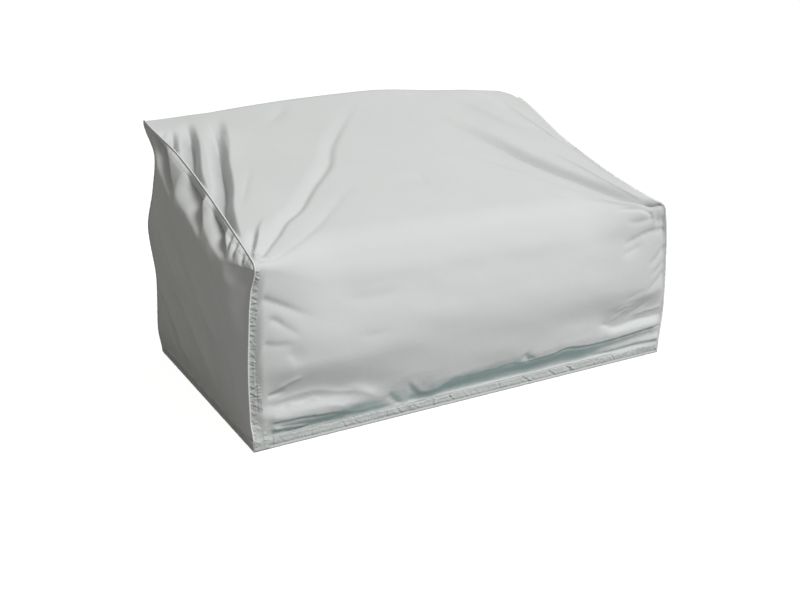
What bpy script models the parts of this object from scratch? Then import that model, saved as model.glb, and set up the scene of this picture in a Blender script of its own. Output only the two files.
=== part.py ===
"""Fitted outdoor cover for a two-seat sofa, in the shape in which it hangs.

Three pieces of coated polyester: one body panel that runs from the front hem over
the arms and the back rest to the back hem, and two end panels. Metres, +Z up, front
towards -Y. The pieces are laid out from the middle of the hem, and a parent empty
then puts the origin where the cover's top rests on the back rest.
"""

import math
from collections import namedtuple

import bmesh
import bpy
import numpy as np

# Driving dimensions
WIDTH = 1.37
DEPTH = 0.79
ARM_HEIGHT = 0.485
BACK_HEIGHT = 0.734
CLOTH = 0.0015
SEAM_GAP = 0.0015

# Rounding of the front bend and of the ridge, tight at the ends and loose in the middle
FRONT_RADIUS_END = 0.022
FRONT_RADIUS_MIDDLE = 0.150
FRONT_LEAN = 0.038
FRONT_BLEND = 0.42
RIDGE_RADIUS_END = 0.010
RIDGE_RADIUS_MIDDLE = 0.036
RIDGE_BLEND = 0.30

# Sewn edges and hems
SEAM_FADE = 0.060
END_SEAM_FADE = 0.050
SEAM_PULL_POWER = 4
HEM_DEPTH = 0.030
HEM_FADE = 0.020
HEM_STIFFNESS = 0.12
CORNER_CUT_WIDTH = 0.034
CORNER_CUT_DEPTH = 0.015
BACK_BULGE = 0.012
BACK_BULGE_START = 1.31
FRONT_BAG_TOP = 0.47

# Soft shoulder of the end panels below their sloping seams, left and right
SHOULDER_DEPTH = (0.085, 0.30)
SHOULDER_SWELL = (0.024, 0.004)
SHOULDER_POWER = 1.6
FRONT_REACH = 0.05
BACK_REACH = 0.10

# Grid of the cloth: intervals along each stretch of the section, and across it
ROW_SHARES = (0.0, 0.06, 0.11, 0.16, 0.205, 0.25, 0.31, 0.39, 0.50, 0.61, 0.72, 0.81, 0.875, 0.925, 0.965)
HEIGHT_ROWS = len(ROW_SHARES)
BEND_ROWS = 4
SLOPE_ROWS = 16
RIDGE_ROWS = 3
LEFT_ZONE = 0.28
LEFT_COLUMNS = 10
MIDDLE_COLUMNS = 10
RIGHT_ZONE = 0.32
RIGHT_COLUMNS = 9

HALF_WIDTH = WIDTH / 2
HALF_DEPTH = DEPTH / 2
EDGE_LENGTH = ARM_HEIGHT + math.hypot(DEPTH, BACK_HEIGHT - ARM_HEIGHT) + BACK_HEIGHT
CLOTH_COLOUR = (0.60, 0.64, 0.63, 1.0)
CLOTH_ROUGHNESS = 0.78

# How far the ridge line stands above the back corners, by place across the width
RidgeRise = namedtuple("RidgeRise", "across rise")
RIDGE = (
    RidgeRise(-HALF_WIDTH, 0.004),
    RidgeRise(-0.52, 0.028),
    RidgeRise(-0.33, 0.048),
    RidgeRise(-0.10, 0.065),
    RidgeRise(0.08, 0.073),
    RidgeRise(0.30, 0.060),
    RidgeRise(0.44, 0.053),
    RidgeRise(0.57, 0.036),
    RidgeRise(0.64, 0.014),
    RidgeRise(HALF_WIDTH, -0.004),
)

# How far the sewn edges are drawn in, by distance along the edge from the front hem
EdgePull = namedtuple("EdgePull", "along left right")
EDGE_PULLS = (
    EdgePull(0.00, 0.000, 0.000),
    EdgePull(0.15, 0.000, -0.009),
    EdgePull(0.36, 0.012, 0.002),
    EdgePull(0.485, 0.0275, 0.022),
    EdgePull(0.51, 0.0285, 0.034),
    EdgePull(0.58, 0.0307, 0.051),
    EdgePull(0.72, 0.0335, 0.064),
    EdgePull(0.95, 0.0332, 0.060),
    EdgePull(1.02, 0.031, 0.051),
    EdgePull(1.15, 0.018, 0.024),
    EdgePull(1.27, 0.004, -0.002),
    EdgePull(1.31, 0.001, -0.004),
    EdgePull(1.42, 0.026, 0.012),
    EdgePull(1.52, 0.012, 0.006),
    EdgePull(1.64, -0.012, 0.000),
    EdgePull(1.80, 0.000, 0.000),
    EdgePull(1.97, -0.008, -0.004),
    EdgePull(EDGE_LENGTH, 0.000, 0.000),
)

# How the front's cloth bags over the hem: (height, how far out) at five levels of its section
FrontBag = namedtuple("FrontBag", "across floor lip roll waist belly")
FRONT_BAG = (
    FrontBag(-HALF_WIDTH, (0.030, 0.000), (0.055, 0.000), (0.100, 0.000), (0.150, 0.000), (0.280, 0.000)),
    FrontBag(-0.620, (0.036, -0.008), (0.067, 0.005), (0.102, 0.010), (0.139, -0.005), (0.230, 0.013)),
    FrontBag(-0.570, (0.034, -0.012), (0.066, 0.007), (0.106, 0.014), (0.139, -0.001), (0.225, 0.023)),
    FrontBag(-0.500, (0.027, -0.012), (0.060, 0.007), (0.108, 0.017), (0.141, 0.005), (0.220, 0.031)),
    FrontBag(-0.400, (0.027, -0.005), (0.050, 0.004), (0.088, 0.015), (0.125, 0.013), (0.215, 0.036)),
    FrontBag(-0.260, (0.028, -0.003), (0.042, 0.001), (0.072, 0.008), (0.125, 0.023), (0.220, 0.039)),
    FrontBag(-0.165, (0.028, -0.012), (0.054, 0.005), (0.085, 0.014), (0.130, 0.027), (0.245, 0.039)),
    FrontBag(-0.050, (0.025, -0.017), (0.077, 0.009), (0.098, 0.017), (0.140, 0.030), (0.235, 0.040)),
    FrontBag(0.100, (0.026, -0.017), (0.082, 0.010), (0.105, 0.018), (0.145, 0.029), (0.235, 0.039)),
    FrontBag(0.300, (0.023, -0.017), (0.088, 0.012), (0.112, 0.020), (0.155, 0.024), (0.240, 0.036)),
    FrontBag(0.400, (0.030, -0.015), (0.079, 0.010), (0.106, 0.018), (0.145, 0.020), (0.240, 0.034)),
    FrontBag(0.500, (0.042, -0.010), (0.079, 0.008), (0.100, 0.015), (0.124, 0.005), (0.240, 0.028)),
    FrontBag(0.580, (0.052, -0.007), (0.084, 0.007), (0.103, 0.012), (0.127, 0.000), (0.235, 0.020)),
    FrontBag(0.650, (0.060, -0.003), (0.090, 0.005), (0.105, 0.008), (0.129, -0.003), (0.230, 0.010)),
    FrontBag(HALF_WIDTH, (0.062, 0.000), (0.090, 0.000), (0.108, 0.000), (0.145, 0.000), (0.240, 0.000)),
)

# A fold is a soft ridge (height above 0) or trough along a line, with its own width to the
# left and right of it, and a share of the line over which it fades in and out. On the body
# panel it runs by place across the width and by distance up the cloth from the front hem;
# on an end panel by place front to back and by height above the hem.
Fold = namedtuple("Fold", "name line height left right fade_in fade_out")
BODY_FOLDS = (
    Fold("first trough", ((-0.695, 1.075), (-0.65, 1.175), (-0.628, 1.225)),
         -0.022, 0.028, 0.024, 0.0, 0.5),
    Fold("second trough", ((-0.695, 0.875), (-0.651, 1.005), (-0.568, 1.235)),
         -0.034, 0.046, 0.028, 0.0, 0.3),
    Fold(
        "widest trough",
        ((-0.695, 0.625), (-0.65, 0.775), (-0.597, 0.895), (-0.556, 1.02), (-0.508, 1.225)),
        -0.037, 0.050, 0.030, 0.0, 0.6,
    ),
    Fold("short fold above the left arm", ((-0.68, 0.497), (-0.632, 0.578), (-0.552, 0.677)),
         0.009, 0.024, 0.044, 0.1, 0.5),
    Fold(
        "long crease, ridge to left arm",
        ((-0.668, 0.50), (-0.516, 0.624), (-0.366, 0.753), (-0.21, 0.96), (0.0, 1.22)),
        -0.009, 0.040, 0.026, 0.03, 0.5,
    ),
    Fold(
        "right shadow trough",
        ((0.675, 0.488), (0.55, 0.545), (0.422, 0.645), (0.311, 0.82), (0.20, 1.00)),
        -0.017, 0.056, 0.044, 0.15, 0.5,
    ),
    Fold("thin crease above the trough", ((0.64, 0.535), (0.54, 0.667), (0.43, 0.84)),
         0.005, 0.026, 0.030, 0.2, 0.5),
    Fold("thin crease below the trough", ((0.66, 0.482), (0.448, 0.552), (0.10, 0.86)),
         0.005, 0.030, 0.026, 0.1, 0.5),
    Fold("crease by the right seam", ((0.69, 0.85), (0.60, 0.98), (0.532, 1.22)),
         -0.005, 0.036, 0.026, 0.0, 0.3),
    Fold("upper tuck, right of the front", ((0.51, 0.372), (0.60, 0.40), (0.69, 0.405)),
         -0.007, 0.020, 0.030, 0.3, 0.3),
    Fold("upper tuck, left of the front", ((-0.66, 0.40), (-0.60, 0.372), (-0.49, 0.325)),
         -0.007, 0.020, 0.030, 0.05, 0.6),
    Fold("second tuck, left of the front", ((-0.65, 0.352), (-0.545, 0.28)),
         -0.006, 0.020, 0.030, 0.2, 0.45),
    Fold("first soft fold of the back", ((-0.36, 2.02), (-0.32, 1.75), (-0.34, 1.42)),
         0.010, 0.100, 0.100, 0.3, 0.3),
    Fold("second soft fold of the back", ((0.07, 2.03), (0.04, 1.80), (0.08, 1.45)),
         -0.010, 0.120, 0.120, 0.3, 0.3),
    Fold("third soft fold of the back", ((0.42, 2.02), (0.45, 1.75), (0.40, 1.42)),
         0.011, 0.100, 0.100, 0.3, 0.3),
)
LEFT_END_FOLDS = (
    Fold("first valley", ((0.275, 0.693), (0.192, 0.636), (0.103, 0.57), (0.075, 0.519)),
         -0.038, 0.045, 0.036, 0.0, 0.6),
    Fold("second valley", ((0.040, 0.625), (-0.052, 0.557), (-0.128, 0.49)),
         -0.044, 0.060, 0.036, 0.0, 0.6),
    Fold("third valley", ((-0.150, 0.558), (-0.222, 0.516), (-0.300, 0.47)),
         -0.030, 0.042, 0.034, 0.0, 0.6),
    Fold("roll at the back corner", ((0.34, 0.60), (0.29, 0.50), (0.17, 0.38), (0.02, 0.26)),
         0.009, 0.068, 0.060, 0.3, 0.3),
    Fold("long upper valley", ((0.20, 0.54), (0.13, 0.42), (0.0, 0.31), (-0.10, 0.24)),
         -0.009, 0.048, 0.068, 0.3, 0.4),
    Fold("long upper roll", ((0.04, 0.46), (-0.04, 0.37), (-0.25, 0.20)), 0.009, 0.060, 0.072, 0.3, 0.4),
    Fold("middle valley", ((-0.165, 0.47), (-0.22, 0.39), (-0.29, 0.31)), -0.007, 0.048, 0.052, 0.3, 0.5),
    Fold("long low roll", ((0.36, 0.43), (0.24, 0.34), (0.06, 0.22), (-0.18, 0.07)),
         0.010, 0.068, 0.072, 0.2, 0.3),
    Fold("long low valley", ((0.36, 0.36), (0.22, 0.27), (0.04, 0.15), (-0.10, 0.06)),
         -0.009, 0.048, 0.060, 0.2, 0.3),
    Fold("bottom roll", ((0.37, 0.28), (0.26, 0.19), (0.05, 0.04)), 0.008, 0.052, 0.052, 0.2, 0.3),
)
RIGHT_END_FOLDS = (
    Fold("upper valley", ((0.18, 0.56), (0.10, 0.42), (0.0, 0.31), (-0.08, 0.24)),
         -0.009, 0.068, 0.100, 0.3, 0.4),
    Fold("upper roll", ((0.04, 0.46), (-0.04, 0.36), (-0.16, 0.25), (-0.25, 0.18)),
         0.008, 0.068, 0.080, 0.3, 0.4),
    Fold("low roll", ((0.36, 0.45), (0.22, 0.33), (0.06, 0.20), (-0.14, 0.08)),
         0.009, 0.072, 0.080, 0.2, 0.3),
    Fold("low valley", ((0.36, 0.34), (0.20, 0.25), (0.04, 0.13), (-0.08, 0.06)),
         -0.007, 0.052, 0.068, 0.2, 0.3),
)


def smooth_step(value):
    """Return 0 below 0, 1 above 1 and a smooth ramp between."""
    ramp = np.clip(value, 0.0, 1.0)
    return ramp * ramp * (3.0 - 2.0 * ramp)


def curve_through(places, heights, at):
    """Return the value at a place of a smooth curve that never overshoots its stations."""
    places = np.asarray(places, float)
    heights = np.asarray(heights, float)
    steps = np.diff(places)
    slopes = np.diff(heights) / steps
    tangents = np.zeros(len(places))
    for index in range(1, len(places) - 1):
        before, after = slopes[index - 1], slopes[index]
        if before * after > 0.0:
            tangents[index] = 2.0 * before * after / (before + after)
    at = np.clip(at, places[0], places[-1])
    index = np.clip(np.searchsorted(places, at) - 1, 0, len(steps) - 1)
    ramp = (at - places[index]) / steps[index]
    ease = smooth_step(ramp)
    leave = ramp * (1.0 - ramp) ** 2 * steps[index] * tangents[index]
    arrive = ramp**2 * (1.0 - ramp) * steps[index] * tangents[index + 1]
    return heights[index] * (1.0 - ease) + heights[index + 1] * ease + leave - arrive


def rounded_corner(before, corner, after, radius, rows):
    """Return the points of the arc that rounds a corner of the section."""
    to_before = (before - corner) / np.linalg.norm(before - corner)
    to_after = (after - corner) / np.linalg.norm(after - corner)
    opening = math.acos(float(to_before @ to_after))
    reach = radius / math.tan(opening / 2)
    middle = (to_before + to_after) / np.linalg.norm(to_before + to_after)
    centre = corner + middle * radius / math.sin(opening / 2)
    first = corner + to_before * reach - centre
    sweep = math.pi - opening
    arc = []
    for row in range(rows + 1):
        angle = -sweep * row / rows
        turned_y = first[0] * math.cos(angle) - first[1] * math.sin(angle)
        turned_z = first[0] * math.sin(angle) + first[1] * math.cos(angle)
        arc.append(centre + np.array([turned_y, turned_z]))
    return arc


def straight(start, end, fractions):
    """Return the points at the given fractions of a straight stretch."""
    return [start + (end - start) * fraction for fraction in fractions]


def section(across):
    """Return the (y, z) points of the body panel's section at one place across the width."""
    from_middle = abs(across) / HALF_WIDTH
    loose = float(smooth_step((1.0 - from_middle) / FRONT_BLEND))
    round_ridge = float(smooth_step((1.0 - from_middle) / RIDGE_BLEND))
    front_radius = FRONT_RADIUS_END + (FRONT_RADIUS_MIDDLE - FRONT_RADIUS_END) * loose
    ridge_radius = RIDGE_RADIUS_END + (RIDGE_RADIUS_MIDDLE - RIDGE_RADIUS_END) * round_ridge
    rise = float(curve_through([row.across for row in RIDGE], [row.rise for row in RIDGE], across))
    front_hem = np.array([-HALF_DEPTH, 0.0])
    front_corner = np.array([-HALF_DEPTH + FRONT_LEAN * loose, ARM_HEIGHT])
    ridge_corner = np.array([HALF_DEPTH, BACK_HEIGHT + rise])
    back_hem = np.array([HALF_DEPTH, 0.0])
    bend = rounded_corner(front_hem, front_corner, ridge_corner, front_radius, BEND_ROWS)
    ridge = rounded_corner(front_corner, ridge_corner, back_hem, ridge_radius, RIDGE_ROWS)
    up = list(ROW_SHARES)
    slope = [row / SLOPE_ROWS for row in range(1, SLOPE_ROWS)]
    down = [1.0 - fraction for fraction in reversed(up)]
    points = straight(front_hem, bend[0], up) + bend
    points += straight(bend[-1], ridge[0], slope) + ridge
    points += straight(ridge[-1], back_hem, down)
    return np.array(points)


def fold_height(folds, first, second):
    """Return the sum of the folds' heights at points of a panel."""
    total = np.zeros_like(first)
    for fold in folds:
        line = np.array(fold.line)
        lengths = np.linalg.norm(np.diff(line, axis=0), axis=1)
        walked = np.concatenate([[0.0], np.cumsum(lengths)])
        nearest = np.full_like(first, np.inf)
        place = np.zeros_like(first)
        on_left = np.zeros(first.shape, bool)
        for start, end, length, before in zip(line[:-1], line[1:], lengths, walked):
            run = (end - start) / length
            ahead = (first - start[0]) * run[0] + (second - start[1]) * run[1]
            ahead = np.clip(ahead, 0.0, length)
            off_first = first - start[0] - run[0] * ahead
            off_second = second - start[1] - run[1] * ahead
            distance = np.hypot(off_first, off_second)
            closer = distance < nearest
            nearest = np.where(closer, distance, nearest)
            place = np.where(closer, (before + ahead) / walked[-1], place)
            on_left = np.where(closer, run[0] * off_second - run[1] * off_first > 0.0, on_left)
        width = np.where(on_left, fold.left, fold.right)
        share = np.clip(1.0 - nearest / width, 0.0, 1.0)
        taper = smooth_step(place / max(fold.fade_in, 1e-6)) if fold.fade_in else 1.0
        if fold.fade_out:
            taper = taper * smooth_step((1.0 - place) / fold.fade_out)
        total += fold.height * taper * smooth_step(share)
    return total


def front_bag(across, along):
    """Return how far the front bags out, for columns across and rows of heights."""
    places = [row.across for row in FRONT_BAG]
    out = np.zeros_like(along)
    for column, place in enumerate(across):
        heights, reaches = [0.0], [0.0]
        for level in FrontBag._fields[1:]:
            heights.append(float(curve_through(places, [getattr(row, level)[0] for row in FRONT_BAG], place)))
            reaches.append(float(curve_through(places, [getattr(row, level)[1] for row in FRONT_BAG], place)))
        heights += [FRONT_BAG_TOP, 9.0]
        reaches += [0.0, 0.0]
        out[column] = curve_through(heights, reaches, along[column])
    return out


def grid_normals(points):
    """Return the unit normals of a grid of points, from its own columns and rows."""
    over_columns, over_rows = np.gradient(points, axis=(0, 1))
    normals = np.cross(over_columns, over_rows)
    return normals / np.linalg.norm(normals, axis=2, keepdims=True)


def columns_across():
    """Return the places across the width, close together where the folds are."""
    left = np.linspace(-HALF_WIDTH, LEFT_ZONE - HALF_WIDTH, LEFT_COLUMNS + 1)
    middle = np.linspace(left[-1], HALF_WIDTH - RIGHT_ZONE, MIDDLE_COLUMNS + 1)
    right = np.linspace(middle[-1], HALF_WIDTH, RIGHT_COLUMNS + 1)
    return np.concatenate([left, middle[1:], right[1:]])


def body_surface():
    """Return the body panel's outer grid, indexed by column and row, and its normals."""
    across = columns_across()
    sections = np.array([section(place) for place in across])
    lengths = np.linalg.norm(np.diff(sections, axis=1), axis=2)
    along = np.concatenate([np.zeros((len(across), 1)), np.cumsum(lengths, axis=1)], axis=1)
    on_edge = along * EDGE_LENGTH / along[:, -1:]
    stations = [row.along for row in EDGE_PULLS]
    left_pull = curve_through(stations, [row.left for row in EDGE_PULLS], on_edge)
    right_pull = curve_through(stations, [row.right for row in EDGE_PULLS], on_edge)
    place = np.repeat(across[:, None], along.shape[1], axis=1)
    near_edge = np.abs(place / HALF_WIDTH) ** SEAM_PULL_POWER
    pulled = place + np.where(place < 0, left_pull, -right_pull) * near_edge
    near_corner = smooth_step(1.0 - (place + HALF_WIDTH) / CORNER_CUT_WIDTH)
    below_bend = smooth_step((ARM_HEIGHT - 0.01 - along) / 0.06)
    above_hem = smooth_step((along - HEM_DEPTH) / 0.05)
    set_back = sections[:, :, 0] + CORNER_CUT_DEPTH * near_corner * below_bend * above_hem
    points = np.dstack([pulled, set_back, sections[:, :, 1]])
    normals = grid_normals(points)
    from_seam = smooth_step((HALF_WIDTH - np.abs(place)) / SEAM_FADE)
    from_hem = np.minimum(along, along[:, -1:] - along) - HEM_DEPTH
    lift = fold_height(BODY_FOLDS, place, along) * from_seam * smooth_step(from_hem / HEM_FADE)
    down_the_back = (along - BACK_BULGE_START) / (EDGE_LENGTH - BACK_BULGE_START)
    back_swell = np.clip(down_the_back, 0.0, 1.0)
    lift += BACK_BULGE * np.sin(math.pi * back_swell) * from_seam
    lift += front_bag(across, along)
    return points + normals * lift[:, :, None], normals


def rounded_down(depth, shoulder):
    """Return 1 at the seam and 0 below the shoulder, ever steeper on the way."""
    return np.clip(1.0 - depth / shoulder, 0.0, 1.0) ** SHOULDER_POWER


def end_surface(body, body_normals, side):
    """Return an end panel's outer grid inside the body panel's edge, by column and row.

    It spans the four edges left by the body panel: front, top, back and hem. side is
    -1 for the left end and 1 for the right.
    """
    edge_index = 0 if side < 0 else -1
    inward = body_normals[edge_index] * np.array([0.0, 1.0, 1.0])
    inward /= np.linalg.norm(inward, axis=1, keepdims=True)
    edge = body[edge_index] - inward * (CLOTH + SEAM_GAP)
    front = edge[: HEIGHT_ROWS + 1].copy()
    back = edge[::-1][: HEIGHT_ROWS + 1].copy()
    top = edge[HEIGHT_ROWS : len(edge) - HEIGHT_ROWS]
    share_back = (top[:, 1] - top[0, 1]) / (top[-1, 1] - top[0, 1])
    share_up = np.array([*ROW_SHARES, 1.0])
    hem = front[0] + (back[0] - front[0]) * share_back[:, None]
    s = share_back[:, None, None]
    t = share_up[None, :, None]
    spanned = (1 - s) * front[None] + s * back[None] + (1 - t) * hem[:, None] + t * top[:, None]
    corners = (1 - s) * ((1 - t) * front[0] + t * front[-1]) + s * ((1 - t) * back[0] + t * back[-1])
    points = spanned - corners

    shoulder = SHOULDER_DEPTH[0 if side < 0 else 1]
    swell = SHOULDER_SWELL[0 if side < 0 else 1]
    plane = side * HALF_WIDTH
    below_top = top[:, None, 2] - points[:, :, 2]
    to_front = points[:, :, 1] - front[None, :, 1]
    to_back = back[None, :, 1] - points[:, :, 1]
    round_front = (front[-1, 0] - plane) * rounded_down(front[-1, 2] - front[:, 2], shoulder)
    round_back = (back[-1, 0] - plane) * rounded_down(back[-1, 2] - back[:, 2], shoulder)
    at_front = np.interp(points[:, :, 2], front[:, 2], front[:, 0] - plane - round_front)
    at_back = np.interp(points[:, :, 2], back[:, 2], back[:, 0] - plane - round_back)
    open_cloth = smooth_step(to_front / 0.09) * smooth_step(to_back / 0.20)
    level = smooth_step(points[:, :, 2] / (0.85 * top[:, None, 2]))
    rounded = rounded_down(below_top, shoulder)
    drawn = (top[:, None, 0] - plane) * rounded + side * swell * open_cloth * level * (1.0 - rounded)
    drawn = drawn + at_front * np.exp(-to_front / FRONT_REACH)
    drawn = drawn + at_back * np.exp(-to_back / BACK_REACH) * (1.0 - np.exp(-below_top / 0.012))
    points[:, :, 0] = plane + drawn

    from_ends = np.minimum(to_front, to_back)
    from_seam = smooth_step(from_ends / END_SEAM_FADE) * smooth_step(below_top / END_SEAM_FADE)
    from_hem = HEM_STIFFNESS + (1 - HEM_STIFFNESS) * smooth_step(points[:, :, 2] / (2 * HEM_DEPTH))
    folds = LEFT_END_FOLDS if side < 0 else RIGHT_END_FOLDS
    lift = fold_height(folds, points[:, :, 1], points[:, :, 2]) * from_seam * from_hem
    points[:, :, 0] += side * lift
    return points


def cloth_material(name):
    """Return one piece's pale coated polyester."""
    material = bpy.data.materials.new(name)
    material.use_nodes = True
    shader = material.node_tree.nodes["Principled BSDF"]
    shader.inputs["Base Color"].default_value = CLOTH_COLOUR
    shader.inputs["Roughness"].default_value = CLOTH_ROUGHNESS
    shader.inputs["Metallic"].default_value = 0.0
    return material


def cloth_piece(name, points, faces_flipped, collection, parent):
    """Make one piece of cloth from its outer grid, with its thickness inward."""
    columns, rows = points.shape[0] - 1, points.shape[1] - 1
    sheet = bmesh.new()
    bmesh.ops.create_grid(sheet, x_segments=columns, y_segments=rows, size=1.0)
    for vertex in sheet.verts:
        column = round((vertex.co.x + 1.0) / 2.0 * columns)
        row = round((vertex.co.y + 1.0) / 2.0 * rows)
        vertex.co = points[column, row]
    if faces_flipped:
        bmesh.ops.reverse_faces(sheet, faces=sheet.faces)
    mesh = bpy.data.meshes.new(name)
    sheet.to_mesh(mesh)
    sheet.free()
    mesh.shade_smooth()
    mesh.materials.append(cloth_material(name))
    piece = bpy.data.objects.new(name, mesh)
    piece.parent = parent
    collection.objects.link(piece)
    thickness = piece.modifiers.new("cloth thickness", "SOLIDIFY")
    thickness.thickness = CLOTH
    thickness.offset = -1.0
    thickness.use_even_offset = True
    return piece


def main():
    """Clear the scene and build the cover."""
    for old in list(bpy.data.objects):
        bpy.data.objects.remove(old, do_unlink=True)
    collection = bpy.data.collections.new("outdoor_sofa_cover")
    bpy.context.scene.collection.children.link(collection)

    body, body_normals = body_surface()
    middle = section(0.0)
    top_row = int(np.argmax(middle[:, 1]))
    frame = bpy.data.objects.new("cover_frame", None)
    frame.location = (0.0, -middle[top_row, 0], CLOTH - middle[top_row, 1])
    collection.objects.link(frame)

    cloth_piece("body_panel", body, False, collection, frame)
    cloth_piece("side_panel_left", end_surface(body, body_normals, -1), True, collection, frame)
    cloth_piece("side_panel_right", end_surface(body, body_normals, 1), False, collection, frame)


main()
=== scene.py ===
"""Looks of a fitted outdoor cover for a two-seat sofa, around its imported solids.

Each cloth panel is built again as a closed thin sheet that hangs on the same folds as its
solid, with the finer creases. On the panels lie the raised crests of the seams, the ruched
band at the left front corner, the hem band and the stitches. Metres, +Z up, front towards
-Y and the right end towards +X. The shapes are laid out from the middle of the hem, and
then moved to the frame's own origin, which lies under the cover's top.
"""

import logging
import math
from dataclasses import dataclass, replace
from enum import Enum
from typing import Sequence

import bmesh
import bpy
import numpy as np
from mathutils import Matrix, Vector


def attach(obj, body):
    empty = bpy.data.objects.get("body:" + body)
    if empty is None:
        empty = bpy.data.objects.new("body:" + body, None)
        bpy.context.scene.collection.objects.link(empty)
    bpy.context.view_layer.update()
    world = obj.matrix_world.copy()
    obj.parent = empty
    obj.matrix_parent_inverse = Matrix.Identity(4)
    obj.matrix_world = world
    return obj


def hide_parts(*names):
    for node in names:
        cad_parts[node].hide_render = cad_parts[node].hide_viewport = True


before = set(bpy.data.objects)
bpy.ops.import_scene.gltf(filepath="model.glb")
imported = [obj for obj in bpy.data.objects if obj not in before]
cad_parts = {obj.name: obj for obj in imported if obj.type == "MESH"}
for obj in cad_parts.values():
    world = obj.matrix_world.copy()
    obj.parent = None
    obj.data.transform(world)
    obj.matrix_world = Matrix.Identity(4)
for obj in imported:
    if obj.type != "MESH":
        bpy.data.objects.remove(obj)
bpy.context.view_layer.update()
MM = 0.001
INNER_STEP = 4  # The sheets' inner layer has one point for every four of the outer one
TINY = 1e-12
LOG = logging.getLogger("sofa_cover")

Array = np.ndarray
Point = tuple[float, float]
Place = tuple[float, float, float]
Piece = bpy.types.Object
Material = bpy.types.Material
Tree = bpy.types.NodeTree
Socket = bpy.types.NodeSocket


def smooth_step(value: Array) -> Array:
    """Return 0 below 0, 1 above 1 and a smooth ramp between."""
    ramp = np.clip(value, 0.0, 1.0)
    return ramp * ramp * (3.0 - 2.0 * ramp)


def above(value: Array, level: float, fade: float) -> Array:
    """Return 0 up to a level and 1 past it, over the distance fade."""
    return smooth_step((value - level) / fade)


def below(value: Array, level: float, fade: float) -> Array:
    """Return 0 past a level and 1 below it, over the distance fade."""
    return smooth_step((level - value) / fade)


def bell(value: Array, centre: float, width: float) -> Array:
    """Return a soft bump of height 1 round a centre."""
    return np.exp(-(((value - centre) / width) ** 2))


def unit(vectors: Array) -> Array:
    """Return the vectors of the last axis at length 1."""
    return vectors / np.maximum(np.linalg.norm(vectors, axis=-1, keepdims=True), TINY)


def distances(line: Array) -> Array:
    """Return how far along a line each of its points lies."""
    return np.concatenate([[0.0], np.cumsum(np.linalg.norm(np.diff(line, axis=0), axis=1))])


def curve_through(table: Sequence[Point], at: Array) -> Array:
    """Read a smooth curve that never overshoots its stations.

    Args:
        table: Stations as (place, value), in rising order of place.
        at: Places to read the curve at.

    Returns:
        The values there.
    """
    places, heights = np.array(table, float).T
    steps = np.diff(places)
    slopes = np.diff(heights) / steps
    tangents = np.zeros(len(places))
    both = slopes[:-1] * slopes[1:]
    total = np.where(both > 0.0, slopes[:-1] + slopes[1:], 1.0)
    tangents[1:-1] = np.where(both > 0.0, 2.0 * both / total, 0.0)
    at = np.clip(at, places[0], places[-1])
    index = np.clip(np.searchsorted(places, at) - 1, 0, len(steps) - 1)
    ramp = (at - places[index]) / steps[index]
    ease = smooth_step(ramp)
    leave = ramp * (1.0 - ramp) ** 2 * steps[index] * tangents[index]
    arrive = ramp**2 * (1.0 - ramp) * steps[index] * tangents[index + 1]
    return heights[index] * (1.0 - ease) + heights[index + 1] * ease + leave - arrive


def stations(length: float, spacing: Sequence[Point] | float) -> Array:
    """Divide a length into steps, in fours, whose size changes on the way.

    Args:
        length: The whole length.
        spacing: Step sizes wanted, as (place, step), or one step for all of it.

    Returns:
        The places of the divisions, both ends included.
    """
    if isinstance(spacing, float):
        spacing = ((0.0, spacing), (length, spacing))
    fine = np.linspace(0.0, length, 4001)
    places, steps = np.array(spacing, float).T
    rate = 1.0 / np.interp(fine, places, steps)
    count = np.concatenate([[0.0], np.cumsum(np.diff(fine) * (rate[1:] + rate[:-1]) / 2)])
    divisions = INNER_STEP * max(1, round(count[-1] / INNER_STEP))
    return np.interp(np.linspace(0.0, count[-1], divisions + 1), count, fine)


def smooth_path(points: Sequence[Point], per_span: int = 9) -> Array:
    """Return a smooth polyline through control points (Catmull-Rom).

    Args:
        points: The control points.
        per_span: Straight pieces between two control points.

    Returns:
        The polyline, one point a row.
    """
    control = np.array(points, float)
    padded = np.vstack([2 * control[0] - control[1], control, 2 * control[-1] - control[-2]])
    share = np.linspace(0.0, 1.0, per_span, endpoint=False)[:, None]
    spans = []
    for a, b, c, d in zip(padded, padded[1:], padded[2:], padded[3:]):
        cubic = (-a + 3 * b - 3 * c + d) * share**3 + (2 * a - 5 * b + 4 * c - d) * share**2
        spans.append(0.5 * (cubic + (c - a) * share + 2 * b))
    return np.vstack(spans + [control[-1:]])


class Unevenness:
    """Smooth wandering of a surface: plane waves of one size with a fixed seed."""

    SIZES = (0.7, 1.6)
    USUAL_PEAK = 1.6

    def __init__(self, seed: int, size: float, waves: int = 12) -> None:
        """Draw the waves' directions, lengths and phases."""
        draw = np.random.default_rng(seed)
        self.heading = draw.uniform(0.0, 2 * math.pi, waves)
        self.rate = 2 * math.pi / (size * draw.uniform(*self.SIZES, waves))
        self.phase = draw.uniform(0.0, 2 * math.pi, waves)

    def at(self, first: Array, second: Array, stretch: float = 1.0) -> Array:
        """Read the wandering.

        Args:
            first: Places along the first direction.
            second: Places along the second direction.
            stretch: How much longer the waves are in the first direction.

        Returns:
            Values mostly between -1 and 1.
        """
        total = np.zeros_like(first, dtype=float)
        for heading, rate, phase in zip(self.heading, self.rate, self.phase):
            along = first * math.cos(heading) / stretch + second * math.sin(heading)
            total += np.sin(along * rate + phase)
        return total * math.sqrt(2.0 / len(self.heading)) / self.USUAL_PEAK

    def along(self, places: Array) -> Array:
        """Read the wandering along a line."""
        return self.at(places, np.zeros_like(places))


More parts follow.
